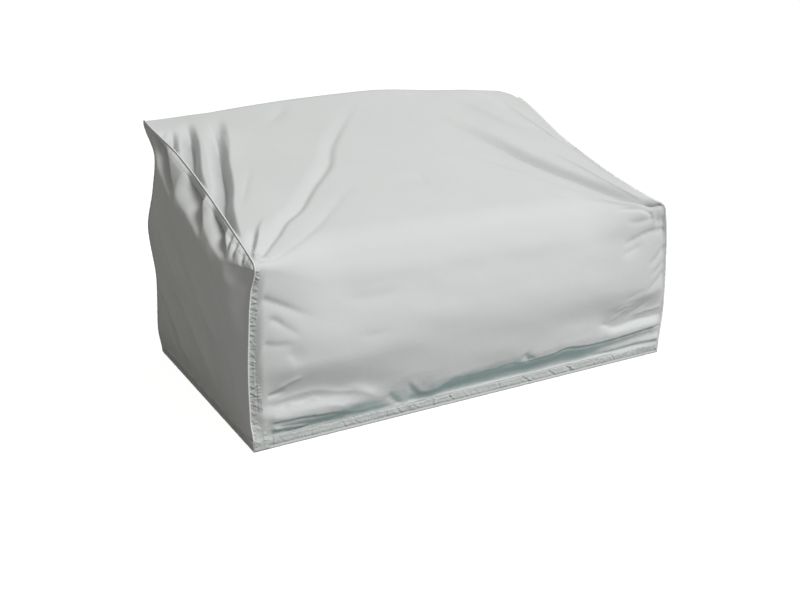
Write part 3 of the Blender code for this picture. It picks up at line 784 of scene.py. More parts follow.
class Surface:
    """A grid of points on a panel, by column and row, with its places in the cloth."""

    def __init__(self, points: Array, first: Array, second: Array) -> None:
        """Keep the grid and work out its outward normals.

        Args:
            points: Positions, (columns, rows, 3), so that columns x rows points outward.
            first: Place of each point along the panel's first direction.
            second: Place along its second direction.
        """
        self.points = points
        self.first = first
        self.second = second
        over_columns, over_rows = np.gradient(points, axis=(0, 1))
        self.normals = unit(np.cross(over_columns, over_rows))
        self.height = np.zeros(first.shape)
        self.hollow = np.zeros(first.shape)
        self.dust = np.zeros(first.shape)

    def read(self, first: Array, second: Array, out: float) -> Array:
        """Return points at places in the cloth.

        Args:
            first: Places along the first direction.
            second: Places along the second direction.
            out: How far above the cloth the points lie.

        Returns:
            The points, one a row.
        """
        found = []
        columns, rows = self.first.shape
        for x, v in zip(first, second):
            i = float(np.interp(x, self.first[:, 0], np.arange(columns)))
            low = min(int(i), columns - 2)
            pair = []
            for column in (low, low + 1):
                j = float(np.interp(v, self.second[column], np.arange(rows)))
                at = min(int(j), rows - 2)
                lifted = self.points[column] + self.normals[column] * out
                pair.append(lifted[at] * (1.0 - j + at) + lifted[at + 1] * (j - at))
            found.append(pair[0] * (1.0 - i + low) + pair[1] * (i - low))
        return np.array(found)

    def raise_by(self, height: Array) -> None:
        """Move the points off the panel."""
        self.height += height
        self.points = self.points + self.normals * height[..., None]


def feed(tree: Tree, socket: Socket, value: object) -> None:
    """Link an input to an output socket, or set it to a value."""
    if isinstance(value, Socket):
        tree.links.new(value, socket)
    else:
        socket.default_value = value


def add(tree: Tree, kind: str, values: dict | None = None, **settings: object) -> bpy.types.Node:
    """Add a node to a tree.

    Args:
        tree: The tree.
        kind: The node's type.
        values: What each input is fed with, by the input's name or number.
        settings: The node's own options.

    Returns:
        The node.
    """
    node = tree.nodes.new(kind)
    for name, value in settings.items():
        setattr(node, name, value)
    for name, value in (values or {}).items():
        feed(tree, node.inputs[name], value)
    return node


@dataclass(frozen=True)
class Finish:
    """One surface finish of the cover, with the detail that its nodes draw."""

    name: str
    colour: Place
    shadow_colour: Place
    roughness: float
    thread: float
    weave_depth: float
    crumple_depth: float
    crumple_size: float
    mottle: float
    sheen: float
    sheen_roughness: float = 0.5
    specular: float = 0.28

    def material(self, groups: "NodeGroups") -> Material:
        """Build the material.

        Args:
            groups: The shared effects.

        Returns:
            The material, with its weave, crumple and colour drawn by nodes.
        """
        made = bpy.data.materials.new(self.name)
        made.use_nodes = True
        tree = made.node_tree
        # Two of these attributes carry painted shade for the tint
        names = ("cloth_place", "hollow", "dust")
        cloth, hollow, dust = (add(tree, "ShaderNodeAttribute", attribute_name=name) for name in names)
        solid = add(tree, "ShaderNodeTexCoord")
        thread = {"Vector": cloth.outputs["Vector"], "Thread": self.thread}
        weave = add(tree, "ShaderNodeGroup", thread, node_tree=groups.weave)
        size = {"Vector": solid.outputs["Object"], "Size": self.crumple_size}
        crumple = add(tree, "ShaderNodeGroup", size, node_tree=groups.crumple)
        shades = {
            "Colour": (*self.colour, 1.0),
            "Shadow Colour": (*self.shadow_colour, 1.0),
            "Mottle": self.mottle,
            "Roughness": self.roughness,
            "Weave": weave.outputs["Shade"],
            "Pattern": crumple.outputs["Mottle"],
            "Hollow": hollow.outputs["Fac"],
            "Dust": dust.outputs["Fac"],
        }
        tint = add(tree, "ShaderNodeGroup", shades, node_tree=groups.tint)
        coarse = {"Distance": self.crumple_depth, "Height": crumple.outputs["Height"]}
        fine = {"Distance": self.weave_depth, "Height": weave.outputs["Height"]}
        fine["Normal"] = add(tree, "ShaderNodeBump", coarse).outputs["Normal"]
        looks = {
            "Specular IOR Level": self.specular,
            "Sheen Weight": self.sheen,
            "Sheen Roughness": self.sheen_roughness,
            "Base Color": tint.outputs["Colour"],
            "Roughness": tint.outputs["Roughness"],
            "Normal": add(tree, "ShaderNodeBump", fine).outputs["Normal"],
        }
        for name, value in looks.items():
            feed(tree, tree.nodes["Principled BSDF"].inputs[name], value)
        return made


class NodeGroups:
    """Shader effects that the finishes share: the weave, the crumple and the tint."""

    def __init__(self) -> None:
        """Build the three groups."""
        self.weave = self.build_weave()
        self.crumple = self.build_crumple()
        self.tint = self.build_tint()

    @staticmethod
    def start(name: str, inputs: dict[str, object], outputs: tuple[str, ...]) -> tuple:
        """Open a group with named sockets.

        Args:
            name: The group's name.
            inputs: Each input's default number, or its kind where it has none.
            outputs: Names of the outputs; Colour is a colour, the others are numbers.

        Returns:
            The group, its inputs and its outputs.
        """
        tree = bpy.data.node_groups.new(name, "ShaderNodeTree")
        for socket, value in inputs.items():
            kind = value if isinstance(value, str) else "NodeSocketFloat"
            made = tree.interface.new_socket(name=socket, in_out="INPUT", socket_type=kind)
            if not isinstance(value, str):
                made.default_value = value
        for socket in outputs:
            kind = "NodeSocketColor" if socket == "Colour" else "NodeSocketFloat"
            tree.interface.new_socket(name=socket, in_out="OUTPUT", socket_type=kind)
        return tree, add(tree, "NodeGroupInput").outputs, add(tree, "NodeGroupOutput").inputs

    @staticmethod
    def math(tree: Tree, operation: str, *terms: object) -> Socket:
        """Add a Math node and return its result; terms are sockets or numbers."""
        return add(tree, "ShaderNodeMath", dict(enumerate(terms)), operation=operation).outputs[0]

    def build_weave(self) -> Tree:
        """Build the plain weave: threads over and under in two directions."""
        inputs = {"Vector": "NodeSocketVector", "Thread": 0.0008}
        tree, come, leave = self.start("plain weave", inputs, ("Height", "Shade"))
        parts = add(tree, "ShaderNodeSeparateXYZ", {0: come["Vector"]}).outputs
        rate = self.math(tree, "DIVIDE", math.pi, come["Thread"])
        warp = self.math(tree, "SINE", self.math(tree, "MULTIPLY", parts[0], rate))
        weft = self.math(tree, "SINE", self.math(tree, "MULTIPLY", parts[1], rate))
        over = self.math(tree, "MULTIPLY", warp, weft)
        heights = (self.math(tree, "ABSOLUTE", threads) for threads in (warp, weft))
        ridge = self.math(tree, "MAXIMUM", *heights)
        feed(tree, leave["Height"], self.math(tree, "MULTIPLY_ADD", over, 0.35, ridge))
        feed(tree, leave["Shade"], self.math(tree, "MULTIPLY_ADD", over, 0.5, 0.5))
        return tree

    def build_crumple(self) -> Tree:
        """Build the slight crumple of coated cloth, and its cloudy colour."""
        inputs = {"Vector": "NodeSocketVector", "Size": 0.03}
        tree, come, leave = self.start("cloth crumple", inputs, ("Height", "Mottle"))
        rate = self.math(tree, "DIVIDE", 1.0, come["Size"])
        soft = {"Vector": come["Vector"], "Scale": rate, "Detail": 4.0, "Roughness": 0.55}
        cloud_rate = self.math(tree, "MULTIPLY", rate, 0.35)
        cloud = {"Vector": come["Vector"], "Scale": cloud_rate, "Detail": 3.0}
        feed(tree, leave["Height"], add(tree, "ShaderNodeTexNoise", soft).outputs[0])
        feed(tree, leave["Mottle"], add(tree, "ShaderNodeTexNoise", cloud).outputs[0])
        return tree

    def build_tint(self) -> Tree:
        """Build the colour: cloudy, a shade darker between threads, cooler and darker by painted shade in
        folds.
        """
        inputs = {
            "Colour": "NodeSocketColor", "Shadow Colour": "NodeSocketColor", "Mottle": 0.03,
            "Roughness": 0.7, "Weave": 0.5, "Pattern": 0.5, "Hollow": 0.0, "Dust": 0.0,
        }
        tree, come, leave = self.start("cloth tint", inputs, ("Colour", "Roughness"))
        # Painted shade: the turned-under pockets are tinted towards the cool shadow colour
        colours = {"Factor": come["Hollow"], 6: come["Colour"], 7: come["Shadow Colour"]}
        deep = add(tree, "ShaderNodeMix", colours, data_type="RGBA").outputs[2]
        centred = self.math(tree, "SUBTRACT", come["Pattern"], 0.5)
        cloudy = self.math(tree, "MULTIPLY_ADD", centred, come["Mottle"], 1.0)
        threads = self.math(tree, "MULTIPLY_ADD", come["Weave"], 0.05, 0.975)
        # Painted shade: the colour is darkened where the folds lay their shade mask
        unshaded = self.math(tree, "SUBTRACT", 1.0, come["Dust"])
        shade = self.math(tree, "MULTIPLY", self.math(tree, "MULTIPLY", cloudy, threads), unshaded)
        scaled = add(tree, "ShaderNodeVectorMath", {0: deep, "Scale": shade}, operation="SCALE")
        feed(tree, leave["Colour"], scaled.outputs[0])
        feed(tree, leave["Roughness"], self.math(tree, "MULTIPLY_ADD", centred, 0.15, come["Roughness"]))
        return tree


def quads(near: Array, far: Array) -> list:
    """Return the four-sided faces between two sets of point numbers, row after row."""
    return np.stack([near[:-1], near[1:], far[1:], far[:-1]], axis=-1).reshape(-1, 4).tolist()


def border(grid: Array) -> Array:
    """Return the grid's border in outward order, back to its start."""
    return np.concatenate([grid[:-1, 0], grid[-1, :-1], grid[:0:-1, -1], grid[0, ::-1]])


def closed_sheet(surface: Surface, thickness: float) -> tuple[Array, list]:
    """Close a surface into a thin sheet with an inner layer of fewer points.

    The inner layer lies under the lowest point nearby, so that it never shows through a
    sharp fold.

    Args:
        surface: The outer layer, with its steps in fours each way.
        thickness: The cloth's thickness.

    Returns:
        Points, the outer layer's first, and faces.
    """
    columns, rows = surface.first.shape
    lowest = surface.height.copy()
    padded = np.pad(surface.height, INNER_STEP, mode="edge")
    for i in range(2 * INNER_STEP + 1):
        for j in range(2 * INNER_STEP + 1):
            lowest = np.minimum(lowest, padded[i : i + columns, j : j + rows])
    inner = surface.points - surface.normals * (surface.height - lowest + thickness)[..., None]
    inner = inner[::INNER_STEP, ::INNER_STEP]
    outside = np.arange(columns * rows).reshape(columns, rows)
    inside = columns * rows + np.arange(inner[..., 0].size).reshape(inner.shape[:2])
    faces = quads(outside[:, :-1], outside[:, 1:]) + quads(inside.T[:, :-1], inside.T[:, 1:])
    outer_rim, inner_rim = border(outside), border(inside)
    for k in range(len(inner_rim) - 1):
        outer = outer_rim[INNER_STEP * k : INNER_STEP * (k + 1) + 1][::-1]
        faces.append([*outer.tolist(), int(inner_rim[k]), int(inner_rim[k + 1])])
    return np.vstack([surface.points.reshape(-1, 3), inner.reshape(-1, 3)]), faces


def declare(piece: Piece, *nodes: str) -> Piece:
    """Let a piece ride on the body and stand for its solid."""
    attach(piece, "root")
    if nodes:
        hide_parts(*nodes)
    LOG.info("%s: %d faces", piece.name, len(piece.data.polygons))
    return piece


@dataclass
class Workshop:
    """What every piece needs to be finished: the frame's origin and the finishes."""

    origin: Vector
    cloth: Material
    band: Material
    edge: Material
    thread: Material

    def mesh(self, name: str, points: Array, faces: list, values: Sequence[Array]) -> bpy.types.Mesh:
        """Make a mesh in the frame.

        Args:
            name: The piece's name.
            points: Positions from the middle of the hem.
            faces: Vertex numbers of each face.
            values: For each point its two places in the cloth, in metres, how hollow the
                fold is in which it lies, which sets the painted pocket shade, and how much painted
                shade darkens it, both 0 to 1.

        Returns:
            The mesh, with its values as attributes for the finishes.
        """
        mesh = bpy.data.meshes.new(name)
        mesh.from_pydata((points - np.array(self.origin)).tolist(), [], faces)
        first, second, hollow, dust = values
        place = np.stack([first, second, np.zeros_like(first)], axis=1).astype(np.float32)
        spots = mesh.attributes.new("cloth_place", "FLOAT_VECTOR", "POINT")
        spots.data.foreach_set("vector", place.ravel())
        for shade, amounts in (("hollow", hollow), ("dust", dust)):
            layer = mesh.attributes.new(shade, "FLOAT", "POINT")
            layer.data.foreach_set("value", amounts.astype(np.float32))
        return mesh

    @staticmethod
    def piece(mesh: bpy.types.Mesh, material: Material) -> Piece:
        """Make a mesh a finished object at the origin, with its place in its mesh."""
        mesh.materials.append(material)
        mesh.shade_smooth()
        mesh.update()
        made = bpy.data.objects.new(mesh.name, mesh)
        bpy.context.scene.collection.objects.link(made)
        return made

    def sheet(
        self, name: str, surface: Surface, thickness: float, material: Material, *nodes: str
    ) -> Piece:
        """Make a surface a closed sheet of cloth.

        Args:
            name: The piece's name.
            surface: The cloth's outer layer.
            thickness: The cloth's thickness.
            material: The finish.
            nodes: The solid that the piece stands for.

        Returns:
            The declared piece.
        """
        points, faces = closed_sheet(surface, thickness)
        values = [
            np.concatenate([grid.ravel(), grid[::INNER_STEP, ::INNER_STEP].ravel()])
            for grid in (surface.first, surface.second, surface.hollow, surface.dust)
        ]
        return declare(self.piece(self.mesh(name, points, faces, values), material), *nodes)

    def tube(
        self, name: str, rings: Array, places: tuple[Array, Array], closed: bool, material: Material
    ) -> Piece:
        """Loft rings into a tube of cloth.

        Args:
            name: The piece's name.
            rings: Positions, (rings, points of a ring, 3).
            places: Places along the tube and round each ring.
            closed: The last ring joins the first; otherwise both ends are capped.
            material: The finish.

        Returns:
            The declared piece.
        """
        count, around = rings.shape[:2]
        numbers = np.arange(count * around).reshape(count, around)
        if closed:
            numbers = np.vstack([numbers, numbers[:1]])
        faces = quads(numbers, np.roll(numbers, -1, axis=1))
        if not closed:
            faces += [numbers[0].tolist(), numbers[-1][::-1].tolist()]
        plain = np.zeros(count * around)
        values = [np.repeat(places[0], around), np.tile(places[1], count), plain, plain]
        mesh = self.mesh(name, rings.reshape(-1, 3), faces, values)
        made = self.piece(mesh, material)
        self.face_outward(mesh)
        return declare(made)

    @staticmethod
    def face_outward(mesh: bpy.types.Mesh) -> None:
        """Turn a closed mesh's faces outward."""
        shape = bmesh.new()
        shape.from_mesh(mesh)
        bmesh.ops.recalc_face_normals(shape, faces=shape.faces)
        shape.to_mesh(mesh)
        shape.free()
        mesh.update()


@dataclass
class BodyPanel:
    """The cloth over the front, the sloping top and the back."""

    form: CoverForm
    seam_roll: float = 0.004
    seam_drop: float = 0.0013
    seam_start: float = 0.001
    seam_fade: float = 0.012
    hem_fade: float = 0.012
    back_fade: float = 0.035
    column_steps: tuple[Point, ...] = (
        (0.0, 0.0024), (0.012, 0.0032), (0.24, 0.0036), (0.34, 0.0075), (0.95, 0.0085),
        (1.10, 0.0050), (1.30, 0.0042), (1.358, 0.0032), (1.37, 0.0024),
    )
    row_steps: tuple[Point, ...] = (
        (0.0, 0.004), (0.03, 0.0034), (0.20, 0.0036), (0.25, 0.0060), (0.42, 0.0060),
        (0.465, 0.0036), (0.51, 0.0036), (0.58, 0.0062), (1.15, 0.0062), (1.24, 0.0042),
        (1.33, 0.0040), (1.40, 0.016), (1.95, 0.018), (2.048, 0.008),
    )

    # Height below which the cloth is looser, and the distance over which it becomes so
    FRONT = (0.50, 0.10)
    LOW = (0.16, 0.10)
    POCKET = (0.125, 0.03)
    # Slope from which the cloth counts as turned under, and the slope added until it is
    OVERHANG = (0.30, 0.35)
    # Waves of the cloth: the waves, their stretch, and their height in millimetres on the
    # slope, with what is added to it on the front and low down
    WAVES = (
        (Unevenness(11, 0.30), 1.6, 0.7, 0.5, 0.0),
        (Unevenness(12, 0.085), 1.8, 0.16, 0.40, 0.0),
        (Unevenness(13, 0.034), 1.3, 0.0, 0.0, 0.55),
        (Unevenness(14, 0.013), 1.6, 0.021, 0.0, 0.14),
    )

    def surface(self) -> Surface:
        """Return the outer layer with all its folds."""
        form = self.form
        across = stations(form.width, self.column_steps) - form.half_width
        along = stations(form.edge_length, self.row_steps)
        made = form.body(across, along, by_share=True)
        first, second = made.first, made.second
        from_edge = form.half_width - np.abs(first)
        total = second[:, -1:]
        keep = above(from_edge, self.seam_start, self.seam_fade)
        keep = keep * above(np.minimum(second, total - second), form.hem, self.hem_fade)
        # The folds also give the painted shade that darkens their colour
        height, made.dust = FoldField(BODY_FOLDS).lift(first, second)
        height += self.unevenness(first, second)
        on_back = np.clip((second - form.back_bulge_start) / (total - form.back_bulge_start), 0.0, 1.0)
        swell = np.sin(math.pi * on_back) * smooth_step(from_edge / self.back_fade)
        height = height * keep + form.back_bulge * swell
        height += FrontBag().out(across, second)
        height -= self.seam_drop * np.clip(1.0 - from_edge / self.seam_roll, 0.0, 1.0) ** 2
        made.raise_by(height)
        # Mask of the painted pocket shade: the turned-under cloth of the low front
        made.hollow = self.turned_under(made)
        return made

    def unevenness(self, first: Array, second: Array) -> Array:
        """Return the small wandering of the cloth between its folds."""
        on_front = below(second, *self.FRONT)
        low = below(second, *self.LOW)
        height = np.zeros_like(first)
        for wave, stretch, usual, more_on_front, more_low in self.WAVES:
            size = usual + more_on_front * on_front + more_low * low
            height += wave.at(first, second, stretch) * size
        return height * MM

    def turned_under(self, made: Surface) -> Array:
        """Return how much each low-front point is turned under, 0 to 1, for the painted pocket shade."""
        rise = np.gradient(made.height, axis=1) / np.gradient(made.second, axis=1)
        return above(rise, *self.OVERHANG) * below(made.second, *self.POCKET)

    def build(self, shop: Workshop, made: Surface) -> Piece:
        """Build the panel and let it stand for its solid."""
        return shop.sheet("body_cloth", made, self.form.cloth, shop.cloth, "body_panel")


@dataclass(frozen=True)
class EndShape:
    """What differs between the two ends: the folds, and how the cloth leaves the seam.

    Shoulder is how far below the seam the rounding reaches, strip_share how much of it a
    flat strip along the seam takes up, and swell how far the cloth stands out below it.
    """

    folds: tuple[Fold, ...]
    shoulder: float
    strip_share: float
    swell: float


# Direction in which the ends' cloth hangs in waves, as shares of backward and upward
SLANT = (0.55, 0.83)
END_SHAPES = {
    Side.LEFT: EndShape(LEFT_END_FOLDS, shoulder=0.085, strip_share=0.26, swell=0.024),
    Side.RIGHT: EndShape(RIGHT_END_FOLDS, shoulder=0.30, strip_share=0.05, swell=0.004),
}


@dataclass
class EndPanel:
    """The cloth over one end of the cover, with a soft shoulder below its sloping seam."""

    form: CoverForm
    side: Side
    inset: Point = (0.0012, 0.01)
    reaches: Point = (0.05, 0.10)
    open_from: Point = (0.09, 0.20)
    back_ease: float = 0.012
    level_share: float = 0.85
    corner_gaps: Point = (0.004, 0.002)
    shoulder_power: float = 1.6
    strip_ease: float = 0.006
    middle_height: float = 0.30
    seam_roll: float = 0.004
    seam_drop: float = 0.0013
    seam_fade: float = 0.013
    fold_fade: float = 0.015
    strip: float = 0.0165
    strip_fade: float = 0.004
    column_steps: tuple[Point, ...] = (
        (0.0, 0.0026), (0.02, 0.0030), (0.40, 0.0034), (0.77, 0.0032), (0.79, 0.0026),
    )
    row_steps: tuple[Point, ...] = (
        (0.0, 0.0045), (0.03, 0.0045), (0.10, 0.0075), (0.36, 0.0062), (0.445, 0.0028),
        (0.475, 0.0016), (0.485, 0.0010),
    )

    PUCKERS = Gathers(31, spacing=(0.005, 0.016), depth=(0.5, 1.5), width=0.0017, lean=0.5)
    # Depth and width of the topstitch's groove in millimetres, and the seam's length to its run
    GROOVE = (0.9, 1.3)
    SLOPE = 1.05
    # What is left of the folds on the hem
    ON_HEM = 0.12
    # Waves of the cloth: the waves, their stretch along the slant and across it, and their
    # height in millimetres
    WAVES = ((Unevenness(21, 0.20), 1.0, 2.2, 1.8), (Unevenness(22, 0.07), 0.6, 1.6, 0.5))

    @property
    def shape(self) -> EndShape:
        """What this end has of its own."""
        return END_SHAPES[self.side]

    def seam(self) -> Array:
        """Return the seam line along the body panel's edge, from front hem to back hem."""
        form = self.form
        along = stations(form.edge_length, 0.002)
        across = self.side.value * np.array([form.half_width, form.half_width - 1 * MM])
        order = np.argsort(across)
        return form.body(across[order], along, by_share=True).points[int(np.argmin(order))]

    def rounded_down(self, depth: Array) -> Array:
        """Return 1 at the seam and 0 below the shoulder, with a flatter strip along the seam."""
        strip = 1.0 - self.shape.strip_share * (1.0 - np.exp(-depth / self.strip_ease))
        return np.clip(1.0 - depth / self.shape.shoulder, 0.0, 1.0) ** self.shoulder_power * strip

    def edges(self, shares: Array, rises: Array) -> list[Array]:
        """Return the points of the front edge, the back edge and the sloping seam.

        Args:
            shares: Shares of the depth, from the front.
            rises: Shares of the height, from the hem.

        Returns:
            The three lines, one point a row.
        """
        form = self.form
        seam = self.seam()
        walked = distances(seam)
        low = form.arm_height - self.corner_gaps[0]
        high = form.edge_length - form.back_height + self.corner_gaps[1]
        lines = (rises * low, walked[-1] - rises * (walked[-1] - high), low + shares * (high - low))
        return [
            np.stack([np.interp(places, walked, seam[:, axis]) for axis in range(3)], axis=-1)
            for places in lines
        ]

    @staticmethod
    def spanned(front: Array, back: Array, top: Array, shares: Array, rises: Array) -> Array:
        """Span a smooth patch between three edges and a straight hem.

        Args:
            front: The front edge's points, from the hem up.
            back: The back edge's points, from the hem up.
            top: The seam's points, from the front.
            shares: The patch's columns, as shares of the depth.
            rises: Its rows, as shares of the height.

        Returns:
            The patch's points, (columns, rows, 3).
        """
        hem = front[0] + (back[0] - front[0]) * shares[:, None]
        s, t = shares[:, None, None], rises[None, :, None]
        patch = (1 - s) * front[None] + s * back[None] + (1 - t) * hem[:, None] + t * top[:, None]
        corners = (1 - s) * ((1 - t) * front[0] + t * front[-1])
        return patch - corners - s * ((1 - t) * back[0] + t * back[-1])

    def base(self) -> tuple[Surface, Array, Array]:
        """Return the panel without folds, and how far each point is from its ends and seam."""
        form, shape = self.form, self.shape
        shares = stations(form.depth, self.column_steps) / form.depth
        rises = stations(form.arm_height, self.row_steps) / form.arm_height
        front, back, top = self.edges(shares, rises)
        points = self.spanned(front, back, top, shares, rises)
        plane = self.side.value * form.half_width
        up = points[..., 2]
        depth = top[:, None, 2] - up
        to_front = points[..., 1] - front[None, :, 1]
        to_back = back[None, :, 1] - points[..., 1]
        opened = smooth_step(to_front / self.open_from[0]) * smooth_step(to_back / self.open_from[1])
        level = smooth_step(up / (self.level_share * top[:, None, 2]))
        swell = self.side.value * shape.swell * opened * level
        rounded = self.rounded_down(depth)
        drawn = (top[:, None, 0] - plane) * rounded + swell * (1.0 - rounded)
        eases = (1.0, 1.0 - np.exp(-depth / self.back_ease))
        for line, gap, reach, ease in zip((front, back), (to_front, to_back), self.reaches, eases):
            rounding = (line[-1, 0] - plane) * self.rounded_down(line[-1, 2] - line[:, 2])
            pull = np.interp(up, line[:, 2], line[:, 0] - plane - rounding)
            drawn = drawn + pull * np.exp(-gap / reach) * ease
        points[..., 0] = plane + drawn
        to_ends = np.minimum(to_front, to_back)
        inward = (np.array([0.0, 0.0, self.middle_height]) - points) * np.array([0.0, 1.0, 1.0])
        far, fade = self.inset
        points = points + unit(inward) * far * below(np.minimum(to_ends, depth), fade, fade)[..., None]
        down = np.linalg.norm(np.diff(points, axis=1), axis=2)[:, ::-1]
        walk = np.pad(np.cumsum(down, axis=1), ((0, 0), (1, 0)))[:, ::-1]
        if self.side is Side.LEFT:
            points, to_ends, walk = points[::-1], to_ends[::-1], walk[::-1]
        return Surface(points, points[..., 1].copy(), points[..., 2].copy()), to_ends, walk

    def surface(self) -> tuple[Surface, Array]:
        """Return the outer layer with all its folds, and the line of its topstitch."""
        hem = self.form.hem
        made, to_ends, walk = self.base()
        first, second = made.first, made.second
        nearest = np.minimum(to_ends, walk)
        keep = smooth_step(nearest / self.seam_fade)
        keep = keep * (self.ON_HEM + (1.0 - self.ON_HEM) * above(second, 0.5 * hem, 2.2 * hem))
        height, _ = FoldField(self.shape.folds).lift(first, second)
        height = height * smooth_step(walk / self.fold_fade) + self.unevenness(first, second)
        height = height * keep + self.puckers(first, walk)
        height -= self.seam_drop * np.clip(1.0 - nearest / self.seam_roll, 0.0, 1.0) ** 2
        made.raise_by(height)
        lifted = made.points + made.normals * 0.3 * MM
        topstitch = [
            [np.interp(self.strip, walk[column, ::-1], lifted[column, ::-1, axis]) for axis in range(3)]
            for column in range(4, len(lifted) - 4)
        ]
        return made, np.array(topstitch)

    def puckers(self, first: Array, walk: Array) -> Array:
        """Return the small gathers of the topstitched strip below the sloping seam."""
        in_strip = above(walk, 3 * MM, self.strip_fade)
        in_strip = in_strip * below(walk, self.strip + 2 * MM, self.strip_fade)
        depth, width = self.GROOVE
        groove = depth * MM * bell(walk, self.strip, width * MM)
        return self.PUCKERS.relief(first * self.SLOPE, walk) * in_strip - groove

    def unevenness(self, first: Array, second: Array) -> Array:
        """Return the small wandering of the cloth between its folds, slanted as they are."""
        slanted = first * SLANT[0] + second * SLANT[1]
        across = first * SLANT[1] - second * SLANT[0]
        waves = (
            wave.at(slanted * along, across * sideways) * height
            for wave, along, sideways, height in self.WAVES
        )
        return sum(waves) * MM

    def build(self, shop: Workshop, made: Surface) -> Piece:
        """Build the panel and let it stand for its solid."""
        name, node = f"end_cloth_{self.side.word}", f"side_panel_{self.side.word}"
        return shop.sheet(name, made, self.form.cloth, shop.cloth, node)


@dataclass
class SeamCrest:
    """The raised crest of the seam between the body panel and an end panel."""

    form: CoverForm
    side: Side
    radius: float = 0.0021
    flatness: float = 0.38
    ripple: float = 0.12
    lift: float = 0.0013
    proud: float = 0.0002
    around: int = 8
    step: float = 0.0032

    def rail(self) -> tuple[Array, Array]:
        """Return the corner line and the body panel's normals along it."""
        form = self.form
        inward = np.array([0.0, 0.001, 0.002])
        if self.side is Side.RIGHT:
            inward = inward[::-1]
        across = self.side.value * (form.half_width - inward)
        grid = form.body(across, stations(form.edge_length, self.step), by_share=True)
        row = int(np.argmin(inward))
        return grid.points[row], grid.normals[row]

    def build(self, shop: Workshop) -> Piece:
        """Build the crest."""
        line, normals = self.rail()
        outward = np.zeros_like(line)
        outward[:, 0] = self.side.value
        along = np.arange(len(line)) * self.step
        ripple = Unevenness(41 + self.side.value, 0.012).along(along)
        size = self.radius * (1.0 + self.ripple * ripple)
        centre = line + normals * self.lift + outward * self.proud
        angles = np.linspace(0.0, 2 * math.pi, self.around, endpoint=False)
        up = normals[:, None] * np.cos(angles)[None, :, None] * self.flatness
        ring = up + outward[:, None] * np.sin(angles)[None, :, None]
        rings = centre[:, None] + ring * size[:, None, None]
        places = along, angles * self.radius
        # The crest's lighter finish is a painted highlight
        return shop.tube(f"seam_crest_{self.side.word}", rings, places, False, shop.edge)


